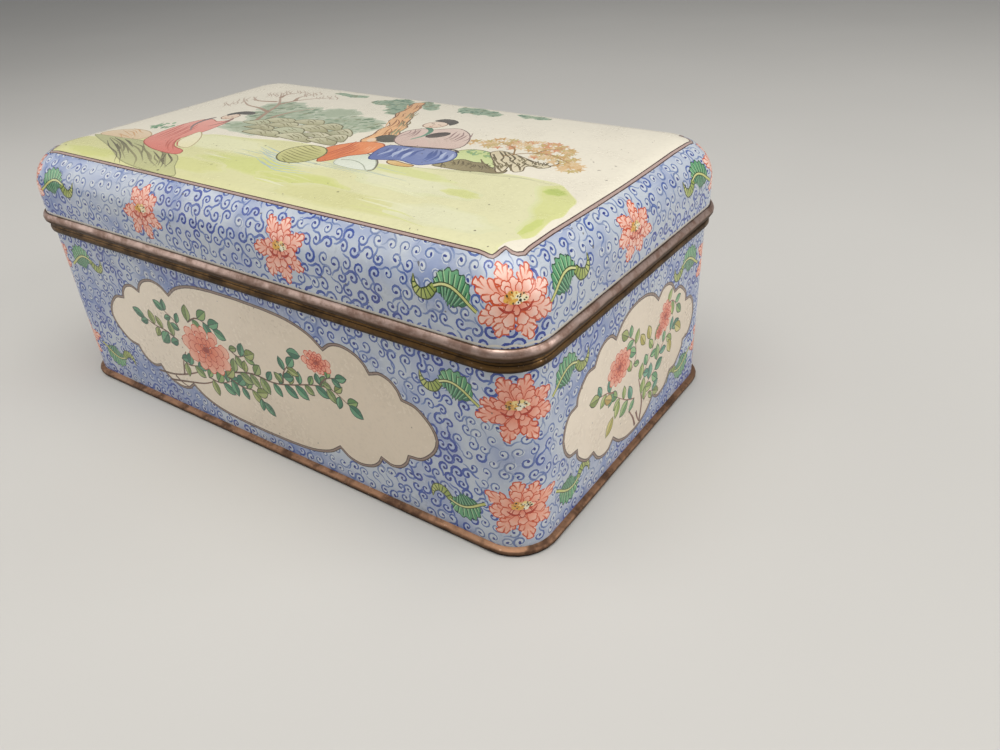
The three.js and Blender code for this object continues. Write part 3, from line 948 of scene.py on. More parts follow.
def covered(x, y):
    """Whether a panel or a corner flower will hide this spot."""
    for middle, outline, level in BODY_PANELS:
        offset = round_gap(x, middle, BODY_ROUND)
        if abs(offset) < 68 and within(np.array([[offset, y - level]]) * 1.06, outline)[0]:
            return True
    return any(math.hypot(x - middle, (y - level) * 1.05) < 6.0 for middle in BODY_CORNERS
        for level in FLOWER_LEVELS)


body_chance = random.Random(41)
body_painting = Painting()
scroll_ground(body_painting, body_chance, BODY_ROUND, BODY_BOTTOM, BODY_TOP, covered,
              lambda x, y: 4.6 * float(drift(np.array([[x, y]]), 13.0, 9)[0]))
for centre in BODY_CORNERS:
    lean = body_chance.uniform(-0.1, 0.1)
    for sense, turn, upper, lower in ((1, 0, 9.6, 10.6), (-1, math.pi, 9.8, 10.0)):
        leaf(body_painting, body_chance, (centre + sense * upper, 40.6), turn, 1.03, sense)
        leaf(body_painting, body_chance, (centre + sense * lower, 13.0), turn, 1.03, -sense)
    flower(body_painting, body_chance, np.array([centre - 0.6, 41.0]), 1.06, 0.93, lean + math.pi / 8)
    flower(body_painting, body_chance, np.array([centre - 0.4, 13.6]), 1.04, 0.93, lean + 0.1)
for middle, outline, level in BODY_PANELS:
    panel(body_painting, outline, (middle, level))
long_spray(body_painting, body_chance, 0.0, 1)
long_spray(body_painting, body_chance, BODY_ROUND / 2, -1)
short_spray(body_painting, body_chance, SIDE_MIDDLE, 1)
short_spray(body_painting, body_chance, -SIDE_MIDDLE, -1)


def body_place(flat):
    spots = walk(BODY_HALF, station(BODY_HALF, flat[:, 0]))[0]
    return np.column_stack([spots, flat[:, 1]])


def body_normals(flat):
    out = walk(BODY_HALF, station(BODY_HALF, flat[:, 0]))[1]
    return np.column_stack([out, np.zeros(len(out))])


def way_round(place_at):
    """The angle at which a place lies as seen from the middle, to sort an edge's points by."""
    return math.atan2(place_at[1] / BODY_HALF[1], place_at[0] / BODY_HALF[0])


def shell(name, corners, colours, chart, locate, normals, closings, plain):
    """The painted skin as one closed piece. Each closing carries a free edge of the skin round
    through a list of levels to the middle, as plain enamel."""
    flat = corners.reshape(-1, 2)
    mesh = bpy.data.meshes.new(name + "_skin")
    count = len(corners)
    mesh.vertices.add(count * 3)
    mesh.loops.add(count * 3)
    mesh.polygons.add(count)
    mesh.vertices.foreach_set("co", (locate(flat) * MM).astype(np.float32).ravel())
    mesh.loops.foreach_set("vertex_index", np.arange(count * 3, dtype=np.int32))
    mesh.polygons.foreach_set("loop_start", np.arange(0, count * 3, 3, dtype=np.int32))
    mesh.update(calc_edges=True)
    lie = mesh.attributes.new("lie", "FLOAT_VECTOR", "POINT")
    lie.data.foreach_set("vector", normals(flat).astype(np.float32).ravel())
    paint = mesh.color_attributes.new("paint", "FLOAT_COLOR", "CORNER")
    paint.data.foreach_set("color", colours.astype(np.float32).ravel())
    chart_map = mesh.uv_layers.new(name="OFBake")
    chart_map.data.foreach_set("uv", chart(corners).astype(np.float32).ravel())
    work = bmesh.new()
    work.from_mesh(mesh)
    bmesh.ops.remove_doubles(work, verts=work.verts, dist=0.000003)
    paint_layer = work.loops.layers.float_color["paint"]
    chart_layer = work.loops.layers.uv["OFBake"]
    lie_layer = work.verts.layers.float_vector["lie"]
    free = {vert for edge in work.edges if edge.is_boundary for vert in edge.verts}
    for chosen, levels, apex, spread in closings:
        edge_verts = sorted((vert for vert in free if chosen(vert.co / MM)),
            key=lambda vert: way_round(vert.co / MM))
        places = np.array([vert.co[:] for vert in edge_verts]) / MM
        rows = [edge_verts]
        for level in levels:
            rows.append([work.verts.new(spot) for spot in level(places) * MM])
        middle = work.verts.new(Vector(apex) * MM)
        total = len(edge_verts)
        for row, (upper, lower) in enumerate(zip(rows, rows[1:] + [None])):
            for k in range(total):
                after = (k + 1) % total
                inner = (lower[after], lower[k]) if lower else (middle,)
                face = work.faces.new((upper[k], upper[after]) + inner)
                for loop in face.loops:
                    loop[paint_layer] = plain
                    share = (k if loop.vert in (upper[k], inner[-1]) else k + 1) / total
                    depth = row if loop.vert in (upper[k], upper[after]) else row + 1
                    loop[chart_layer].uv = spread(share, depth, len(rows), loop.vert.co / MM)
        for row in rows[1:]:
            for vert in row:
                vert[lie_layer] = (0, 0, 0)
    # A sliver left standing on an edge by the merging has two free edges, and is taken off.
    fins = [face for face in work.faces if sum(edge.is_boundary for edge in face.edges) == 2]
    bmesh.ops.delete(work, geom=fins, context="FACES")
    bmesh.ops.recalc_face_normals(work, faces=work.faces)
    work.to_mesh(mesh)
    work.free()
    mesh.name = name
    mesh.polygons.foreach_set("use_smooth", [True] * len(mesh.polygons))
    mesh.set_sharp_from_angle(angle=math.radians(35))
    vertex_of = np.empty(len(mesh.loops), np.int32)
    mesh.loops.foreach_get("vertex_index", vertex_of)
    ways = np.empty(len(mesh.vertices) * 3, np.float32)
    mesh.attributes["lie"].data.foreach_get("vector", ways)
    ways = ways.reshape(-1, 3)[vertex_of]
    flat_ways = np.empty(len(mesh.loops) * 3, np.float32)
    mesh.corner_normals.foreach_get("vector", flat_ways)
    aligned = np.sum(flat_ways.reshape(-1, 3) * ways, axis=1) > 0.6
    mesh.attributes.remove(mesh.attributes["lie"])
    mesh.normals_split_custom_set((ways * aligned[:, None]).tolist())
    return mesh


def enamel(name, shine):
    """Opaque enamel under a glassy surface that follows the hammered copper, with small pits."""
    sheet = Sheet(name)
    spot = sheet.place()
    cloud = sheet.noise(70.0, 3.0, 0.55, spot)
    fine = sheet.noise(900.0, 3.0, 0.6, spot)
    tone = sheet.attribute("paint")
    tone = sheet.blend(sheet.ramp(cloud, 0.42, 0.7) * 0.08, tone, ink("8a7f6c"))
    tone = sheet.blend(sheet.ramp(fine, 0.5, 0.75) * 0.05, tone, ink("f4f0ea"))
    tone = sheet.blend(sheet.ramp(fine, 0.5, 0.28) * 0.06, tone, ink("5c5a66"))
    pit = sheet.ramp(sheet.noise(640.0, 1.0, 0.4, spot), 0.775, 0.8)
    tone = sheet.blend(pit * 0.75, tone, ink("463c32"))
    rough = shine + cloud * 0.14 + fine * 0.06 + pit * 0.3
    height = cloud * 0.8 + fine * 0.12 - pit * 0.3
    return sheet.finish(Base_Color=tone, Roughness=rough, Coat_Weight=0.3, Coat_Roughness=0.12,
                        Normal=sheet.bump(height, 0.0009, 0.22))


def body_chart(corners):
    """Three strips of the unrolled wall, one above another."""
    strip = np.clip(np.floor((corners[:, :, 0].mean(1) + BODY_ROUND / 2) / (BODY_ROUND / 3)), 0, 2)[:, None]
    across = (corners[:, :, 0] + BODY_ROUND / 2 - strip * BODY_ROUND / 3) / 180 + 0.006
    return np.stack([across, (corners[:, :, 1] - BODY_BOTTOM) / 180 + 0.005 + strip * 0.284], -1)


def core_and_out(places):
    """Each place's nearest point on the core between the corner centres, and the way out from it."""
    core = np.clip(places[:, :2], (-CORE_HALF[0], -CORE_HALF[1]), CORE_HALF)
    out = places[:, :2] - core
    return core, out / np.linalg.norm(out, axis=1)[:, None]


def body_inner(depth, height):
    """One ring of the body's inner face, at a depth in from the outside."""
    def level(places):
        core, out = core_and_out(places)
        return np.column_stack([core + out * (BODY_HALF[2] - depth), np.full(len(places), height)])
    return level


def inner_spread(top):
    """Where the plain inside and underside lie on the colour chart, above the painted strips."""
    def spread(share, depth, rows, spot):
        if depth >= rows - 1:
            return (0.30 * top + 0.02 + (spot[0] + 90) * 0.0013, 0.962 + (spot[1] + 50.3) * 0.00034)
        return (0.01 + share * 0.97, 0.862 + (0.09 * depth / max(rows - 1, 1)))
    return spread


BODY_TILES = 24
PLAIN_ENAMEL = ink("dfe2dc")
fillet_levels = []
for step in range(5):
    bend = math.pi / 2 * step / 4
    depth = BODY_WALL + FLOOR_FILLET * (1 - math.cos(bend))
    fillet_levels.append(body_inner(depth, BODY_FLOOR_TOP + FLOOR_FILLET * (1 - math.sin(bend))))
tile_ends = [BODY_ROUND * (k / BODY_TILES - 0.5) for k in range(BODY_TILES + 1)]
body_tiles = [(left, right, BODY_BOTTOM, BODY_TOP) for left, right in zip(tile_ends, tile_ends[1:])]
body_guides = []
for centre in BODY_CORNERS:
    for step in range(11):
        x = centre + (step / 10 - 0.5) * BODY_HALF[2] * math.pi / 2
        body_guides.append(np.array([(x, BODY_BOTTOM), (x, BODY_TOP)]))
body_halos = [((centre, level), (11.5, 10.5)) for centre in BODY_CORNERS for level in FLOWER_LEVELS]
body_corners, body_colours = lay(body_painting, body_tiles, body_guides,
                                 wash(body_halos, lambda spots: 0.1 - (spots[:, 1] - 26) * 0.002), BODY_ROUND)
body_closings = [
    (lambda spot: abs(spot[2] - BODY_TOP) < 0.02, [body_inner(BODY_WALL, BODY_TOP)] + fillet_levels,
     (0, 0, BODY_FLOOR_TOP), inner_spread(0)),
    (lambda spot: abs(spot[2] - BODY_BOTTOM) < 0.02, [], (0, 0, BODY_BOTTOM), inner_spread(1))]
body_mesh = shell("painted_body", body_corners, body_colours, body_chart, body_place, body_normals,
                  body_closings, PLAIN_ENAMEL)
body_mesh.materials.append(enamel("body_enamel", 0.16))
put("painted_body", body_mesh, "box_body")


# The lid: one raised copper shell, enamelled like the body. Its wall rises straight from the rim,
# rolls over a broad shoulder and ends in a low dome. Laid flat it is one sheet: the top as seen
# from above, with the shoulder and wall spread out round it.
LID_BOTTOM = 54.2
CROWN = (77.6, 40.9, 5.0)
CROWN_CORE = (CROWN[0] - CROWN[2], CROWN[1] - CROWN[2])
CROWN_TOP = 74.1
DOME_RISE = 2.1
SHOULDER_OUT = 10.2
SHOULDER_BOTTOM = 62.7
LID_WALL = 1.5
LID_ROUND = sum(walk_lengths(LID_HALF))
roll = np.linspace(0, math.pi / 2, 120)
roll_out = SHOULDER_OUT * np.sin(roll)
roll_height = SHOULDER_BOTTOM + (CROWN_TOP - SHOULDER_BOTTOM) * np.cos(roll)
roll_run = np.concatenate([[0], np.cumsum(np.hypot(np.diff(roll_out), np.diff(roll_height)))])
LID_RUN = roll_run[-1] + SHOULDER_BOTTOM - LID_BOTTOM
roll_out = np.append(roll_out, SHOULDER_OUT)
roll_height = np.append(roll_height, LID_BOTTOM - 4)
roll_run = np.append(roll_run, LID_RUN + 4)


def lid_fold(points):
    """From millimetres round the rim and up the lid's face to the flat sheet."""
    spots, out = walk(CROWN, station(LID_HALF, points[:, 0]))
    return spots + out * (LID_RUN - points[:, 1])[:, None]


def lid_place(flat):
    """From the flat sheet to the lid: the crown rises a little, and what lies past it rolls down."""
    core = np.clip(flat, (-CROWN_CORE[0], -CROWN_CORE[1]), CROWN_CORE)
    away = flat - core
    reach = np.linalg.norm(away, axis=1)
    out = away / np.maximum(reach, 1e-9)[:, None]
    run = np.maximum(reach - CROWN[2], 0)
    offset = np.interp(run, roll_run, roll_out)
    bend = CROWN[2] + (LID_HALF[2] - CROWN[2]) * offset / SHOULDER_OUT
    grow = np.stack([(CROWN[0] + offset - bend) / CROWN_CORE[0],
        (CROWN[1] + offset - bend) / CROWN_CORE[1]], 1)
    side = np.column_stack([core * grow + out * bend[:, None], np.interp(run, roll_run, roll_height)])
    swell = np.clip(1 - (flat[:, 0] / CROWN[0]) ** 2, 0, 1) * np.clip(1 - (flat[:, 1] / CROWN[1]) ** 2, 0, 1)
    top = np.column_stack([flat, CROWN_TOP + DOME_RISE * swell])
    return np.where((reach <= CROWN[2])[:, None], top, side)


def lid_normals(flat):
    across = lid_place(flat + (1.6, 0)) - lid_place(flat - (1.6, 0))
    along = lid_place(flat + (0, 1.6)) - lid_place(flat - (0, 1.6))
    out = np.cross(across, along)
    return out / np.linalg.norm(out, axis=1)[:, None]


def grown_crown(distance):
    """The crown's outline moved outward on the flat sheet."""
    where = np.concatenate([leg + np.linspace(0, 1, 11)[:-1] if leg % 2 else [float(leg)]
        for leg in range(9)])
    spots, out = walk(CROWN, where)
    return spots + out * distance


lid_band = Painting(lid_fold)
lid_top = Painting()
lid_top.strokes = lid_band.strokes
lid_chance = random.Random(73)
LID_CORNER = CORE_HALF[0] + LID_HALF[2] * math.pi / 4
LID_SIDE = CORE_HALF[0] + LID_HALF[2] * math.pi / 2 + CORE_HALF[1]
lid_flowers = [(-30.0, 0.9, 0.8), (22.0, 0.95, 0.84), (LID_ROUND / 2 + 24, 0.92, 0.82),
    (LID_ROUND / 2 - 27, 0.92, 0.8), (LID_SIDE - 3, 0.92, 0.86), (3 - LID_SIDE, 0.92, 0.84)]
lid_corners = [LID_CORNER, -LID_CORNER, LID_ROUND / 2 - LID_CORNER, LID_CORNER - LID_ROUND / 2]


def near_lid_flower(x, y):
    middles = [item[0] for item in lid_flowers] + lid_corners
    return any(math.hypot(round_gap(x, middle, LID_ROUND), (y - 11.4) * 1.2) < 5.4 for middle in middles)


def lid_scroll_tone(x, y):
    """Paler scrolls toward the crown and on the right side."""
    patch = 4.8 * float(drift(np.array([[x, y]]), 14.0, 19)[0])
    return patch - 0.1 + (y - 9) * 0.1 + (0.9 if 84 < x < 184 else 0)


scroll_ground(lid_band, lid_chance, LID_ROUND, 0.0, 21.4, near_lid_flower, lid_scroll_tone)
for middle in lid_corners:
    for sense, turn in ((1, 0), (-1, math.pi)):
        leaf(lid_band, lid_chance, (middle + sense * 8.8, 9.6), turn, 1.04, sense)
for middle in lid_corners:
    turn = math.pi / 8 + lid_chance.uniform(-0.06, 0.06)
    flower(lid_band, lid_chance, np.array([middle, 11.6]), 1.04, 0.86, turn, 8, PEONY_PINKS)
for middle, size, squash in lid_flowers:
    flower(lid_band, lid_chance, np.array([middle, 11.0]), size, squash, lid_chance.uniform(0, 0.8), 7,
        PEONY_PINKS)
border = np.array([(0, 45.4), (25, 45.4), (50, 45.4), (72, 45.5), (75.4, 45.8), (76.7, 45.5), (77.6, 44.2),
    (78.4, 42.0), (79.9, 42.1), (81.4, 41.3), (82.6, 39.4), (82.5, 36.4), (82.4, 28), (82.7, 14),
    (82.8, 0)])
border = np.concatenate([border[::-1], (border * (-1, 1))[1:]])
border = np.concatenate([border, (border * (1, -1))[-2:0:-1]])
border_path = inset(border, 0.6)
lid_top.fill(border_path, "ebe4d2")
lid_band.line(np.stack([np.linspace(0, LID_ROUND, 150), np.full(150, 2.15)], 1), 0.55, "d8d3c8")


# The picture on the lid, in thin enamel colours over the cream: a lawn, rocks and trees, and
# resting figures in plain robes.
def shape(points, outline, first, second, line=0.35, steps=3):
    """A flat patch of colour in the picture with a dark line round it."""
    edge = smooth(points, steps, True)
    lid_top.fill(edge, outline)
    low, high = edge[:, 1].argmin(), edge[:, 1].argmax()
    lid_top.fill(inset(edge, line), first, second, edge[low], edge[high])


def clump(centre, reach, count, tones, size, turn=None):
    """Dabs strewn over an oval area, turned any way or all about one way."""
    for _ in range(count):
        angle, away = lid_chance.uniform(0, 2 * math.pi), math.sqrt(lid_chance.random())
        spot = np.array(centre) + np.array([math.cos(angle) * reach[0], math.sin(angle) * reach[1]]) * away
        lean = lid_chance.uniform(0, math.pi) if turn is None else turn + lid_chance.uniform(-0.4, 0.4)
        long, wide = size * lid_chance.uniform(0.8, 1.3), size * lid_chance.uniform(0.35, 0.6)
        lid_top.fill(oval(spot, long, wide, lean, 7), lid_chance.choice(tones))


def foliage(outline, tones, dabs, count, size):
    """A mass of leaves: a soft wash under many small dabs, some of them over its edge."""
    edge = smooth(outline, 3, True)
    lid_top.fill(edge, tones[0])
    lid_top.fill(inset(edge, 0.7), tones[1])
    low, high = edge.min(0), edge.max(0)
    while count:
        spot = np.array([lid_chance.uniform(low[0], high[0]), lid_chance.uniform(low[1], high[1])])
        if within(spot[None], edge)[0]:
            long, wide = size * lid_chance.uniform(0.7, 1.4), size * lid_chance.uniform(0.35, 0.7)
            lid_top.fill(oval(spot, long, wide, lid_chance.uniform(0, 3), 7), lid_chance.choice(dabs))
            count -= 1


def blot(centre, reach, tones, lobes=7):
    """A soft-edged patch of wash: ragged outlines, each a little smaller and nearer the full tone."""
    angle = np.arange(32) * math.pi / 16
    phase, other = lid_chance.uniform(0, 6), lid_chance.uniform(0, 6)
    for layer, tone in enumerate(tones):
        ragged = 1.04 - 0.13 * layer + 0.08 * np.sin(angle * lobes + phase)
        ragged = ragged + 0.06 * np.sin(angle * (lobes - 4) + other + layer * 0.5)
        lid_top.fill(np.stack([np.cos(angle) * reach[0], np.sin(angle) * reach[1]], 1) * ragged[:, None]
            + centre, tone)


def strokes_through(start, end, bend, count, spread, width, tones, waver=0.5):
    """Rows of brush lines side by side, as for rock faces, bark and the folds of cloth."""
    start, end = np.array(start, float), np.array(end, float)
    side = np.array([-(end - start)[1], (end - start)[0]]) / np.linalg.norm(end - start)
    for row in range(count):
        shift = side * spread * ((row + 0.5) / count - 0.5 + lid_chance.uniform(-0.2, 0.2) / count)
        first, last = sorted((lid_chance.uniform(0, 0.3), lid_chance.uniform(0.7, 1.0)))
        points = []
        for share in np.linspace(first, last, 4):
            sway = math.sin(share * math.pi) * bend + lid_chance.uniform(-waver, waver)
            points.append(start + (end - start) * share + shift + side * sway)
        points = smooth(points, 3)
        widths = np.sin(np.linspace(0.25, math.pi - 0.1, len(points))) * width * lid_chance.uniform(0.7, 1.2)
        lid_top.line(points, widths, *lid_chance.choice(tones))


GREY_GREENS = ("8fa386", "7f967b", "99a98c", "adb89e", "6f8669", "b9c2a8", "8d9373", "c3cab4")
ROCK_INKS = (("6a6648", "8d8a64"), ("59543d", "7d785a"), ("7c7752", "a3a077"))
HUMP_EDGES = ("6b6442", "77714e", "857c58")
HUMP_TONES = (("a3a078", "cfcbaa"), ("b0ad88", "c3c6a6"), ("999a76", "d8d2b4"))
LAWN_STROKES = (("d6d894", "dadb9e"), ("e2e1b8", "e4e3bc"))

# The lawn, with its soft patches of stronger and paler green.
shape([(-80, -33), (-66, -29), (-52, -24), (-38, -17.6), (-24, -16), (-8, -13.4), (8, -14.6), (22, -18),
    (36, -14.6), (46, -11.4), (57, -7.9), (65, -7.2), (70.2, -7.4), (72.8, -9), (75.8, -11.6),
    (78.8, -14.4), (79.3, -18), (80.2, -22), (79.4, -25.4), (79.9, -29.6), (80.4, -33.4), (79.2, -36.6),
    (77.4, -39.6), (76.6, -42.4), (75.2, -44.8), (50, -44.8), (20, -44.8), (-20, -44.8), (-50, -44.8),
    (-75.6, -44.8), (-77.4, -41.2), (-81.4, -38)], "e0dfae", "d8d69a", "e0ddb2", 0.6)
for centre, reach, tones in (((-30, -22), (20, 5), ("dedeac", "e1e0b2", "e3e2b8")),
        ((-8, -31), (18, 5), ("dada9e", "d6d894", "d2d68a")),
        ((14, -34), (15, 4.4), ("d8d998", "d4d68e", "d0d486")),
        ((40, -24), (18, 5), ("dcddb0", "dedeb4", "e0dfba")),
        ((30, -38), (22, 4.5), ("d9d8a4", "d8d69e", "d6d49a")),
        ((-62, -41), (12, 3), ("d8d89a", "d5d692", "d2d48a")),
        ((34, -18.6), (14, 2.4), ("dbdca6", "d8da9e", "d5d898")),
        ((58, -36), (14, 5), ("dddcb2", "dfdeb6", "e0dfba")),
        ((-26, -37), (16, 4), ("dcdba4", "dad99c", "d7d794")),
        ((4, -24), (12, 3), ("dedeac", "e1e0b4", "e3e2ba"))):
    blot(centre, reach, tones)
for ground_tone, grow in (("dcddac", 1.9), ("dadba4", 1.2), ("d8da9c", 0.6), ("d6d894", 0.0)):
    edge = [(68.2 - grow, -11.0), (69.4, -9.0), (71.2, -8.0), (73.2, -9.6), (75.8, -11.9), (78.6, -14.6),
        (79.1, -18), (80.0, -22.1), (79.2, -25.4), (79.7, -29.6), (80.2, -33.6), (79.0, -36.2)]
    inner_edge = ((77.6, -34.4), (76.6, -30.6), (76.0, -26.6), (73.4, -23.2), (72.4, -18.3), (69.8, -14.6))
    edge += [(x - grow, y) for x, y in inner_edge]
    lid_top.fill(smooth(edge, 3, True), ground_tone)
for centre, reach, tones in (((71.8, -12.2), (2.8, 2.0), ("cad382", "c1cc76", "b8c66c")),
        ((77.6, -31), (1.3, 4.6), ("d0d58a", "cad27e")),
        ((54, -23.4), (5, 2), ("dadba0", "d7d998", "d3d690"))):
    blot(centre, reach, tones)
for x, y, wide, high in ((-22, -29, 26, 4), (6, -35, 24, 3), (38, -27, 24, 3), (46, -38, 26, 3)):
    strokes_through((x - wide / 2, y + 1), (x + wide / 2, y - 1), 0.6, 4, high * 2.2, 0.7, LAWN_STROKES, 0.4)

# The trees on the left and the mossy rocks behind the figures, thin and grey.
PALE_LEAVES = ("c3cab4", "b7c1a8", "aab69c")
for centre, reach in (((-33, 6), (14, 11)), ((-44, 14), (8, 7)), ((-9, 5), (13, 9)), ((-30, -8), (16, 5.6)),
        ((-20, 14), (8, 6))):
    blot(centre, reach, PALE_LEAVES, 11)
clump((-33, 6), (13, 10.6), 120, GREY_GREENS, 2.3, 0.6)
clump((-44, 14), (7, 6.6), 36, GREY_GREENS, 2.1, 0.6)
clump((-9, 5), (13, 9), 150, GREY_GREENS, 2.1, 1.0)
clump((-29, -8), (15, 5), 70, GREY_GREENS, 2.2, 0.5)
for points in ([(-38, -2), (-43, 7), (-48, 16), (-56, 24), (-62, 30)],
        [(-43, 7), (-50, 10), (-58, 12), (-66, 17)], [(-48, 16), (-47, 22), (-43, 28), (-38, 31)],
        [(-56, 24), (-58, 29), (-55, 34)], [(-52, 19), (-60, 18), (-67, 22)],
        [(-47, 22), (-50, 27), (-49, 32)], [(-36, 2), (-35, 10), (-31, 16)]):
    branch = smooth(points, 4)
    lid_top.line(branch, np.linspace(1.5, 0.4, len(branch)), "a5876f", "c0ab98")
for centre in ((-62, 28), (-58, 33), (-66, 19), (-50, 33), (-41, 31), (-66, 13)):
    strokes_through((centre[0] + 4, centre[1] - 4), (centre[0] - 4, centre[1] + 4), 0.4, 6, 7, 0.5,
        (("b8a390", "cfc0ae"),), 0.8)
for x, y, wide, high in ((-30, 0.6, 11, 5.4), (-20, 2.6, 10, 5.6), (-10, 1.4, 10, 5), (-35, -3.4, 9, 5),
        (-25, -2.4, 11, 5.6), (-14, -2.4, 12, 5.6), (-3, -2.0, 8, 5.6), (-30, -7, 11, 5),
        (-19, -6.6, 11, 5.4), (-8, -6.8, 10, 5), (0, -6.4, 7, 5), (-25, -10.6, 12, 4.4),
        (-13, -10.2, 12, 4.8), (-3, -9.8, 9, 4.4)):
    hump = [(x - wide * 0.56, y - 2.2), (x - wide * 0.4, y + high * 0.3), (x - wide * 0.1, y + high * 0.56),
        (x + wide * 0.22, y + high * 0.46), (x + wide * 0.5, y + high * 0.06), (x + wide * 0.6, y - 2.4)]
    hump = [(a + lid_chance.uniform(-0.8, 0.8), b + lid_chance.uniform(-0.7, 0.7)) for a, b in hump]
    shape(hump, lid_chance.choice(HUMP_EDGES), *lid_chance.choice(HUMP_TONES), 0.36)
    start, end = (x - wide * 0.3, y + high * 0.3), (x + wide * 0.3, y - 1.6)
    strokes_through(start, end, 0.5, 3, 3.4, 0.4, (("77714e", "8d8762"), ("8d8762", "a39d78")), 0.3)

# Hanging leaves along the far edge, and the great leaning trunk.
for outline, count in (([(-19.9, 29.9), (-22.6, 33), (-21.2, 36.9), (-19.6, 38), (-18.4, 41), (-14.2, 41.7),
        (-11, 39), (-7.6, 38.1), (-5.4, 32), (-2.9, 28.1), (-3.2, 25.4), (-1.3, 22.7), (-2.4, 20.6),
        (-6.5, 20.3), (-8, 23), (-10.7, 23.4), (-10.4, 26.4), (-12.6, 27.2), (-15, 30)], 120),
        ([(-6, 35.9), (-9, 39.6), (-7.5, 42.7), (-4, 40.6), (-1.4, 40.6), (0.6, 37), (3.2, 33.9),
        (2.2, 30.6), (-1, 32)], 46), ([(8.7, 35.9), (7, 39), (8.1, 41.3), (10.6, 41.4), (13.3, 42.9),
        (17, 41), (21.6, 39.7), (24.4, 36), (22.6, 33.5), (19.6, 34.4), (17.1, 32.9), (14.6, 34),
        (12.2, 33)], 54), ([(27.3, 40.2), (29.4, 41.6), (33, 41.2), (36.6, 41.6), (39.6, 39.4),
        (36.1, 37.3), (34, 38.2), (32.1, 36.8), (29.6, 38.4)], 26),
        ([(-44, 37), (-41, 39.6), (-36, 38.8), (-31, 40), (-29.6, 36.6), (-34, 35), (-38, 36)], 26)):
    foliage(outline, ("b3c2a8", "98ac93"), ("6d8b70", "62826b", "7f9a80", "8ea488", "a5b498", "8b9272"),
        count, 1.9)
shape([(-10.1, 38.4), (-7.6, 32), (-4.8, 26.9), (-4, 22), (-1.2, 18.4), (0.6, 13.4), (4.1, 9.9), (4.6, 4.6),
    (6.3, 0.4), (6.6, -4.6), (9, -6.6), (13, -3.4), (14.4, 2.3), (11.6, 6), (10.4, 10.8), (7, 14.4),
    (4.4, 20.2), (1, 24), (-1, 29.3), (-4.4, 34.6), (-7.3, 40.5)], "7a573d", "edbb88", "e2ad7a", 0.4, 2)
for start, end in (((-8.4, 37), (-3, 26)), ((-3.4, 27), (2, 16)), ((0.4, 18), (6.4, 7)), ((5, 9), (9.6, -4))):
    strokes_through(start, end, 0.8, 6, 4.8, 0.5,
        (("9a6743", "b8814f"), ("e6bb8c", "d9a878"), ("8a5a3a", "a8744a")), 0.5)
for start, end in (((0, 27), (5, 17)), ((5, 17.6), (11, 7)), ((9, 10), (13, 1))):
    strokes_through(start, end, -0.6, 5, 2.6, 0.55, (("7c6a48", "96855e"), ("8b8a64", "a39f78")), 0.5)

# The bank in the near left corner and the figure in a rose robe above it.
shape([(-76, -25), (-70, -21.6), (-62, -22), (-57, -25.6), (-60, -30), (-70, -31), (-77, -29)], "b9a27c",
    "dcc09a", "e6d2b4")
strokes_through((-73, -24), (-61, -28), 0.5, 6, 7, 0.4, (("c79663", "d8ae80"),))
clump((-64, -16), (4, 3.4), 22, ("7fa37f", "6b9170", "9ab894"), 2.2)
shape([(-78, -30), (-66, -29.4), (-54, -29), (-44, -31.6), (-33, -34), (-27, -39.6), (-21.5, -44),
    (-34, -44.2), (-47, -42.5), (-60, -37), (-70, -33.6)], "9a9a6e", "c6c690", "b9ba88", 0.3)
for start, end in (((-70, -31), (-44, -43)), ((-60, -30), (-36, -43)), ((-50, -31), (-27, -43.6)),
        ((-64, -32), (-52, -38)), ((-42, -33), (-30, -43))):
    strokes_through(start, end, 1.2, 4, 4.6, 0.66, ROCK_INKS, 0.8)
shape([(-58.6, -12), (-56.6, -6.6), (-53, -5.6), (-49.6, -7), (-46.4, -4.6), (-44.6, -10), (-44, -17),
    (-45.6, -23.4), (-41.6, -28.6), (-35.4, -30.4), (-34.4, -33.4), (-41.6, -33.6), (-49.6, -32),
    (-56, -28.4), (-58.4, -20)], "a5503f", "d8796b", "eaa698")
shape([(-45.6, -17), (-41.6, -19), (-37.4, -24), (-36, -28.4), (-40.6, -28.6), (-44.6, -24.6)], "b5a27c",
    "ebe3b8", "efe9cc")
strokes_through((-56, -9), (-51, -29), 1.0, 6, 8, 0.6, (("b85a4c", "c96e5e"),), 0.3)
strokes_through((-48, -22), (-38, -32.4), -1.2, 4, 4, 0.5, (("b85a4c", "c96e5e"),), 0.2)
lid_top.line(smooth([(-54.6, -3.4), (-55.4, -8), (-53.6, -13), (-49.6, -17)], 4),
    (0.5, 1.4, 1.7, 1.6, 1.4, 1.2, 1.1, 1.0, 0.9, 0.8, 0.6, 0.5, 0.3), "7b6a68", "96827c")
lid_top.line(smooth([(-47.4, -2.6), (-46.4, -7), (-48, -12)], 4),
    (0.5, 1.1, 1.3, 1.2, 1.0, 0.9, 0.7, 0.5, 0.3), "8c5f58", "a5756a")
lid_top.fill(oval((-50.4, -1.4), 6.0, 6.4, 0.2, 12), "8c6b58")
lid_top.fill(oval((-50.4, -1.4), 5.3, 5.7, 0.2, 12), "edd8c2", "e2c4ab", (-52, 1), (-48, -4))
shape([(-54, 0.6), (-53, 3.6), (-50.4, 5.4), (-46.6, 5.2), (-45, 2.8), (-47.6, 1.8), (-51, 1.4),
    (-52.6, -0.8)], "36322e", "45413b", "57514a", 0.2)
for x, y in ((-51.8, -1.2), (-49.4, -1.6)):
    lid_top.line([(x - 0.5, y), (x + 0.5, y)], 0.3, "4a3a32")
lid_top.line([(-51.0, -3.2), (-50.0, -3.3)], 0.34, "a85a48")

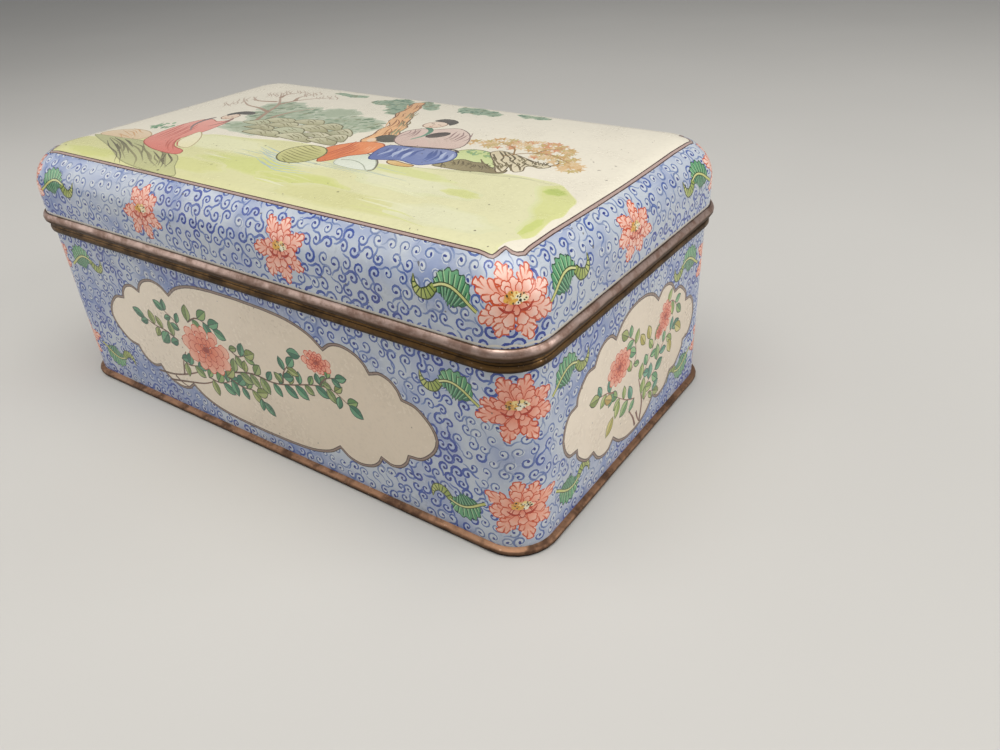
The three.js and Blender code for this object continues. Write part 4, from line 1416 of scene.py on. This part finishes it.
# The pierced garden rock on the right, with reddening leaves over it.
shape([(35.6, -3), (36.4, 0.8), (39.4, 3), (42.8, 3.2), (45.6, 2.2), (48.2, -0.8), (50, -4.2), (51.6, -6.2),
    (46, -7), (39.6, -7)], "77744c", "d3dba2", "c3d08e", 0.35)
clump((43, 1), (5, 1.8), 22, ("a9bf7c", "94b06e", "8aa87c"), 1.8)
shape([(36.6, -12.2), (38, -9.5), (38.8, -7.2), (40.1, -5.4), (41.7, -4.8), (44.3, -5.2), (46.5, -4.7),
    (48.8, -5.4), (51.3, -6.5), (53.4, -6), (55, -6), (55.2, -8.3), (52.7, -9.8), (49.6, -10.4),
    (46, -11.7), (41.7, -12.1)], "5d5337", "a3976f", "8d8160", 0.35)
shape([(43.9, 2.4), (45, 5.2), (47.5, 5.4), (51, 4.7), (54.4, 3.6), (57.7, 2.6), (60.8, 2.4), (62.6, 1.4),
    (60.9, -1.1), (58.5, -0.9), (57.4, -1.9), (58.4, -4.6), (56.8, -6.4), (54.5, -4.2), (53.4, -2.4),
    (54.6, -6.9), (53.2, -8.6), (50.5, -5.2), (48, -2.2)], "6a5a40", "e0d5b8", "d2c4a2", 0.35)
ROCK_LINES = (("5d5136", "7c7050"), ("6c6042", "8b7f5b"), ("544930", "72664a"))
for points in ([(45.3, 2), (48.1, -0.9), (48.5, -2.6), (51.3, -5.2), (54.3, -7.6)],
        [(45.4, 4.7), (48.8, 1.5), (49.7, -0.9), (52.8, -2.7), (56, -5.8)],
        [(47.8, 4.9), (51.7, 2.3), (52.4, -0.1), (55.7, -2.2), (57.6, -4.6)],
        [(51.2, 4.2), (54.6, 2.2), (55.1, 0.2), (57.2, -0.2), (60, -0.8)],
        [(54.6, 3.1), (58.4, 1.2), (58.3, 0), (61, -0.1)],
        [(60.6, 1.5), (60.5, 4.5), (61.6, 6.2), (62.9, 4.3), (61.8, 1.6)],
        [(44.9, -2.8), (46.9, -4.7), (48.6, -5.4), (51.5, -8.3)],
        [(46.6, 5), (48.6, 3), (50.6, 1.8), (51.4, 0.4), (53.6, -1)],
        [(46.4, 0.4), (49.4, -2.4), (51.4, -4), (53, -5.6)]):
    bend = smooth(points, 3)
    lid_top.line(bend, 0.28 + 0.34 * np.abs(np.sin(np.arange(len(bend)) * 0.9 + lid_chance.uniform(0, 3))),
        *lid_chance.choice(ROCK_LINES))
for x in np.linspace(38.6, 55.4, 13):
    top = np.interp(x, (38, 41, 47, 56), (-9.5, -5.4, -5.4, 2.4))
    strokes_through((x - 0.8, top - 0.4), (x + 1.6, top - 4.6), 0.6, 2, 1.6, 0.5, ROCK_LINES, 0.5)
for x in (54, 57.6, 60):
    strokes_through((x - 1.4, 3.4), (x + 1.0, 0.2), 0.4, 3, 2.4, 0.42, ROCK_LINES, 0.4)
for points in ([(37, -13.8), (48.9, -11.4), (57, -8.9), (66, -8)],
        [(46.1, -12.9), (54, -10.6), (61, -8.7), (70, -8.6)], [(30, -16), (40, -14), (50, -11.9)]):
    line = smooth(points, 4)
    lid_top.line(line, 0.05 + 0.24 * np.sin(np.linspace(0, math.pi, len(line))), "a7a684", "bdbd98")
for centre, reach, count in (((44, 11), (7, 4), 34), ((54, 13), (8, 5), 50), ((61, 7), (7, 4), 34),
        ((67, 3.4), (4, 3), 18), ((38, 8), (4, 3), 14)):
    for _ in range(count):
        angle, away = lid_chance.uniform(0, 2 * math.pi), math.sqrt(lid_chance.random())
        spot = np.array(centre) + np.array([math.cos(angle) * reach[0], math.sin(angle) * reach[1]]) * away
        tone = lid_chance.choice(("cfab72", "c9a066", "dcbb8c", "d3946c", "c2ac6c", "dfc49a", "c7b27a"))
        for arm in range(5):
            tip = np.array([math.cos(arm * 1.26 + away * 3), math.sin(arm * 1.26 + away * 3)]) * 1.5
            lid_top.line([spot - tip * 0.3, spot + tip], (0.9, 0.3), tone)
for points in ([(48, 2), (52, 7), (58, 9), (65, 6)], [(50, 4), (47, 9), (42, 11)],
        [(54, 8), (55, 12), (58, 15)]):
    lid_top.line(smooth(points, 3), 0.45, "8b6a3f", "b08c58")

# Ripples on the lawn, the pale stone, the kneeling figure in orange and the round green mat.
for index in range(14):
    y = -15.4 - 0.28 * index + lid_chance.uniform(-0.6, 0.6)
    x = lid_chance.uniform(-24, 34)
    lid_top.line([(x - 7, y - 6.6 + x * 0.09), (x, y - 7 + x * 0.1), (x + 8, y - 7.4 + x * 0.1)],
        (0.1, 0.34, 0.1), "aebbb4", "c3ccb8")
for row in range(9):
    start = (-14 + row * 0.8, -19 - row * 1.1)
    start = (start[0] + lid_chance.uniform(-3, 3), start[1])
    line = smooth([start, (start[0] + 9, start[1] - 2.6 - row * 0.1),
        (start[0] + lid_chance.uniform(16, 24), start[1] - 2.2)], 4)
    lid_top.line(line, 0.04 + 0.36 * np.sin(np.linspace(0, math.pi, len(line))), "a4b8bd", "c5d2c8")
shape([(11.6, -17), (13, -14.4), (16, -13.4), (20.4, -14.6), (23.6, -17.4), (25.4, -20.8), (22.9, -22.6),
    (17, -22.8), (12.6, -21.6)], "b3bba8", "e4e8da", "d6ddca", 0.3)
lid_top.line(smooth([(15.6, -12.6), (19.6, -13.8), (23.4, -16.8), (25.6, -20.8), (24.8, -22.4)], 4), 0.45,
    "5f5a4c", "7d7868")
lid_top.line(smooth([(13, -19), (16.6, -18.2), (20.6, -19.4), (24, -22)], 4), 0.3, "8f9684", "a9b09c")
shape([(2.6, -16), (3.0, -12.6), (5, -9.4), (7.4, -6.6), (10.8, -4.8), (14.6, -4.6), (17, -6.6),
    (17.4, -10), (16.2, -13.4), (13, -16.4), (11, -20.4), (8.2, -22.8), (5.8, -19.6), (4, -17)], "a44a26",
    "d9703f", "e9955f")
strokes_through((9, -6.4), (7.6, -20.6), 1.0, 5, 6, 0.6, (("b9552e", "c9683c"),), 0.3)
strokes_through((13.4, -6.6), (14, -13.6), 0.6, 3, 3, 0.5, (("f0b088", "eaa070"),), 0.2)
shape([(9.8, -2.9), (9.0, -0.4), (10, 1.6), (12.4, 2.6), (16.2, 1.4), (17.4, -0.8), (16.2, -2.6),
    (13.5, -4)], "37342c", "4b483d", "5e5a4c", 0.2)
lid_top.fill(oval((9.6, -3.6), 2.6, 3.4, 0.3, 8), "e7cdb2")
lid_top.fill(oval((0, -20), 13.8, 13.0, 0.2, 22), "6b6840")
lid_top.fill(oval((0, -20), 12.9, 12.2, 0.2, 22), "cfcb8c", "b5b573", (-4, -15), (4, -26))
for row in range(9):
    y = -15.0 - row * 1.3
    half = math.sqrt(max(36 - (y + 20) ** 2, 1)) * 0.95
    lid_top.line([(-half, y + 0.9), (0, y - 0.5), (half, y - 1.2)], (0.2, 0.42, 0.2), "7e7a48", "98945c")

# The seated figure in mauve and blue, with a plain oval face.
shape([(13.2, 2.6), (12.6, 7.8), (15, 11.6), (18.4, 12.2), (21.6, 15.4), (24.6, 16.6), (29.6, 13.6),
    (33.6, 8), (35, 2), (31.6, -1.2), (26.2, -2.8), (20.8, -4), (16, -2)], "77605c", "d2b7ac", "e2cdc0")
strokes_through((18, 9), (30, 1), 1.0, 5, 8, 1.1, (("dccabc", "cfb7aa"),), 0.4)
strokes_through((27, 15), (29, 2), 1.6, 5, 6, 0.5, (("967a76", "a88c87"),), 0.3)
strokes_through((14, 11), (16, 1), 0.8, 4, 3.6, 0.5, (("967a76", "a88c87"),), 0.3)
lid_top.line(smooth([(15.6, 13.2), (18.6, 10.6), (19.8, 6), (18.8, 1.6)], 4), np.linspace(1.8, 0.5, 13),
    "4d7b64", "7fa68c")
lid_top.fill(oval((22.8, 8.4), 7.6, 4.4, 1.1, 10), "453c38", "655852", (21, 11), (25, 5))
lid_top.line(smooth([(19, -4.6), (24, -3.0), (29, -1.6), (34.6, -0.2), (37, -1.6)], 4), 0.8, "4a403d")
shape([(19.3, -15.8), (17, -11), (16.6, -6), (18.6, -4.2), (23.8, -3.6), (29.2, -2), (33, -0.8),
    (36.6, -1.6), (38.8, -5), (38.4, -8.9), (34.6, -13.3), (31.6, -13.8), (27.5, -13.2), (23.6, -14.6)],
    "34447e", "5f70a8", "8793bd")
strokes_through((20, -5), (20.6, -14), 1.0, 5, 5, 1.0, (("b3bdd8", "94a2c8"), ("43558f", "5f70a8")), 0.4)
strokes_through((26, -3.6), (26.6, -12.6), -1.2, 5, 5, 1.2, (("bdc6dc", "9eabcd"), ("43558f", "5f70a8")), 0.5)
strokes_through((32.6, -2), (34, -12), 1.4, 6, 7, 1.2, (("b8c2da", "97a5ca"), ("46588f", "5f70a8")), 0.5)
lid_top.fill(oval((15.4, 16.6), 6.6, 7.8, -0.35, 14), "8c6b58")
lid_top.fill(oval((15.4, 16.6), 5.9, 7.1, -0.35, 14), "efdcc8", "e3c8b0", (13, 19), (18, 14))
for x, y in ((14.0, 17.4), (16.6, 17.0)):
    lid_top.line([(x - 0.6, y), (x + 0.6, y)], 0.32, "4a3a32")
lid_top.line([(14.9, 14.4), (16.1, 14.3)], 0.36, "a85a48")
lid_top.line([(15.1, 17.0), (15.0, 15.7), (15.5, 15.6)], 0.26, "b08a70")
shape([(12.4, 20), (13.4, 23.6), (17, 24), (19.8, 21.6), (19.6, 18), (18.2, 19), (15.4, 20.2)], "35312d",
    "47433c", "5c564d", 0.2)
shape([(24.6, -14.4), (26.6, -13.6), (30, -14), (33, -14.2), (32.6, -15.8), (28.6, -16.6), (25.6, -16)],
    "80603c", "d6ac6a", "e4c48c")

# The brown double line round the picture, and a few specks in the glaze.
loop_path = np.concatenate([border_path, border_path[:2]])
lid_top.line(loop_path, 1.2, "4a3230")
lid_top.line(loop_path, 0.6, "b29a92")
for _ in range(80):
    spot = (lid_chance.uniform(-70, 76), lid_chance.uniform(-42, 34))
    lid_top.fill(oval(spot, lid_chance.uniform(0.2, 0.46), 0.24, lid_chance.uniform(0, 3), 5),
        lid_chance.choice(("3a3228", "5f5644", "8a8068")))


def lid_inner(bend):
    """One ring of the lid's inner face: on the wall when bend is zero, at the crown's edge when it is one."""
    bend = bend * math.pi / 2
    drawn_in = (SHOULDER_OUT - LID_WALL) * (1 - math.cos(bend))
    turn_in = LID_HALF[2] - LID_WALL - 5.8 * drawn_in / (SHOULDER_OUT - LID_WALL)
    height = SHOULDER_BOTTOM + (CROWN_TOP - SHOULDER_BOTTOM - LID_WALL) * math.sin(bend)

    def level(places):
        core, out = core_and_out(places)
        reach = np.array([LID_HALF[0], LID_HALF[1]]) - LID_WALL - drawn_in - turn_in
        return np.column_stack([core * reach / CORE_HALF + out * turn_in, np.full(len(places), height)])
    return level


def lid_foot(places):
    """The inner side of the lid's lower edge."""
    out = core_and_out(places)[1]
    return np.column_stack([places[:, :2] - out * LID_WALL, places[:, 2]])


def lid_under(share):
    """One ring under the crown, drawn in to a share of the crown's size."""
    def level(places):
        spots = lid_inner(1.0)(places)
        height = CROWN_TOP - LID_WALL + DOME_RISE * (1 - share * share)
        return np.column_stack([spots[:, :2] * share, np.full(len(places), height)])
    return level


def lid_chart(corners):
    return corners / 208 + (0.5, 0.325)


def lid_inner_chart(share, depth, rows, spot):
    return (0.01 + share * 0.97, 0.66 + 0.32 * depth / rows)


LID_SHEET = (103.1, 66.4)
tile_ends = [-LID_SHEET[0] + 2 * LID_SHEET[0] * k / 10 for k in range(11)]
tile_levels = [-LID_SHEET[1] + 2 * LID_SHEET[1] * j / 6 for j in range(7)]
lid_tiles = [(left, right, low, high) for left, right in zip(tile_ends, tile_ends[1:])
             for low, high in zip(tile_levels, tile_levels[1:])]
lid_edge = grown_crown(LID_RUN)
lid_loops = [grown_crown(roll_run[119] * k / 10) for k in range(11)] + [lid_edge]
lid_guides = [np.concatenate([loop, loop[:1]]) for loop in lid_loops]
for leg in (1, 3, 5, 7):
    for share in np.linspace(0, 1, 11):
        spots, out = walk(CROWN, np.array([leg + share * 0.9999]))
        lid_guides.append(np.array([spots[0], spots[0] + out[0] * LID_RUN]))
for k in range(-7, 8):
    lid_guides.append(np.array([(k * 10.31, -CROWN[1]), (k * 10.31, CROWN[1])]))
for k in range(-3, 4):
    lid_guides.append(np.array([(-CROWN[0], k * 11.07), (CROWN[0], k * 11.07)]))
halo_spots = lid_fold(np.array([(item[0], 11.0) for item in lid_flowers]
    + [(middle, 11.6) for middle in lid_corners]))
lid_halos = [(spot, (11.0, 11.0)) for spot in halo_spots]
lid_wash = wash(lid_halos, lambda spots: -0.36 * np.clip((spots[:, 0] - 76) / 12, 0, 1))
lid_triangles, lid_colours = lay(lid_top, lid_tiles, lid_guides, lid_wash)
inside_edge = within(lid_triangles.mean(1), lid_edge)
lid_triangles, lid_colours = lid_triangles[inside_edge], lid_colours[inside_edge]
lid_levels = [lid_foot] + [lid_inner(k / 5) for k in range(6)] + [lid_under(share)
    for share in (0.75, 0.5, 0.25)]
lid_closings = [(lambda spot: spot[2] < LID_BOTTOM + 0.15, lid_levels,
                 (0, 0, CROWN_TOP - LID_WALL + DOME_RISE), lid_inner_chart)]
lid_mesh = shell("painted_lid", lid_triangles, lid_colours, lid_chart, lid_place, lid_normals,
                 lid_closings, PLAIN_ENAMEL)
lid_mesh.materials.append(enamel("lid_enamel_paint", 0.16))
put("painted_lid", lid_mesh, "lid")
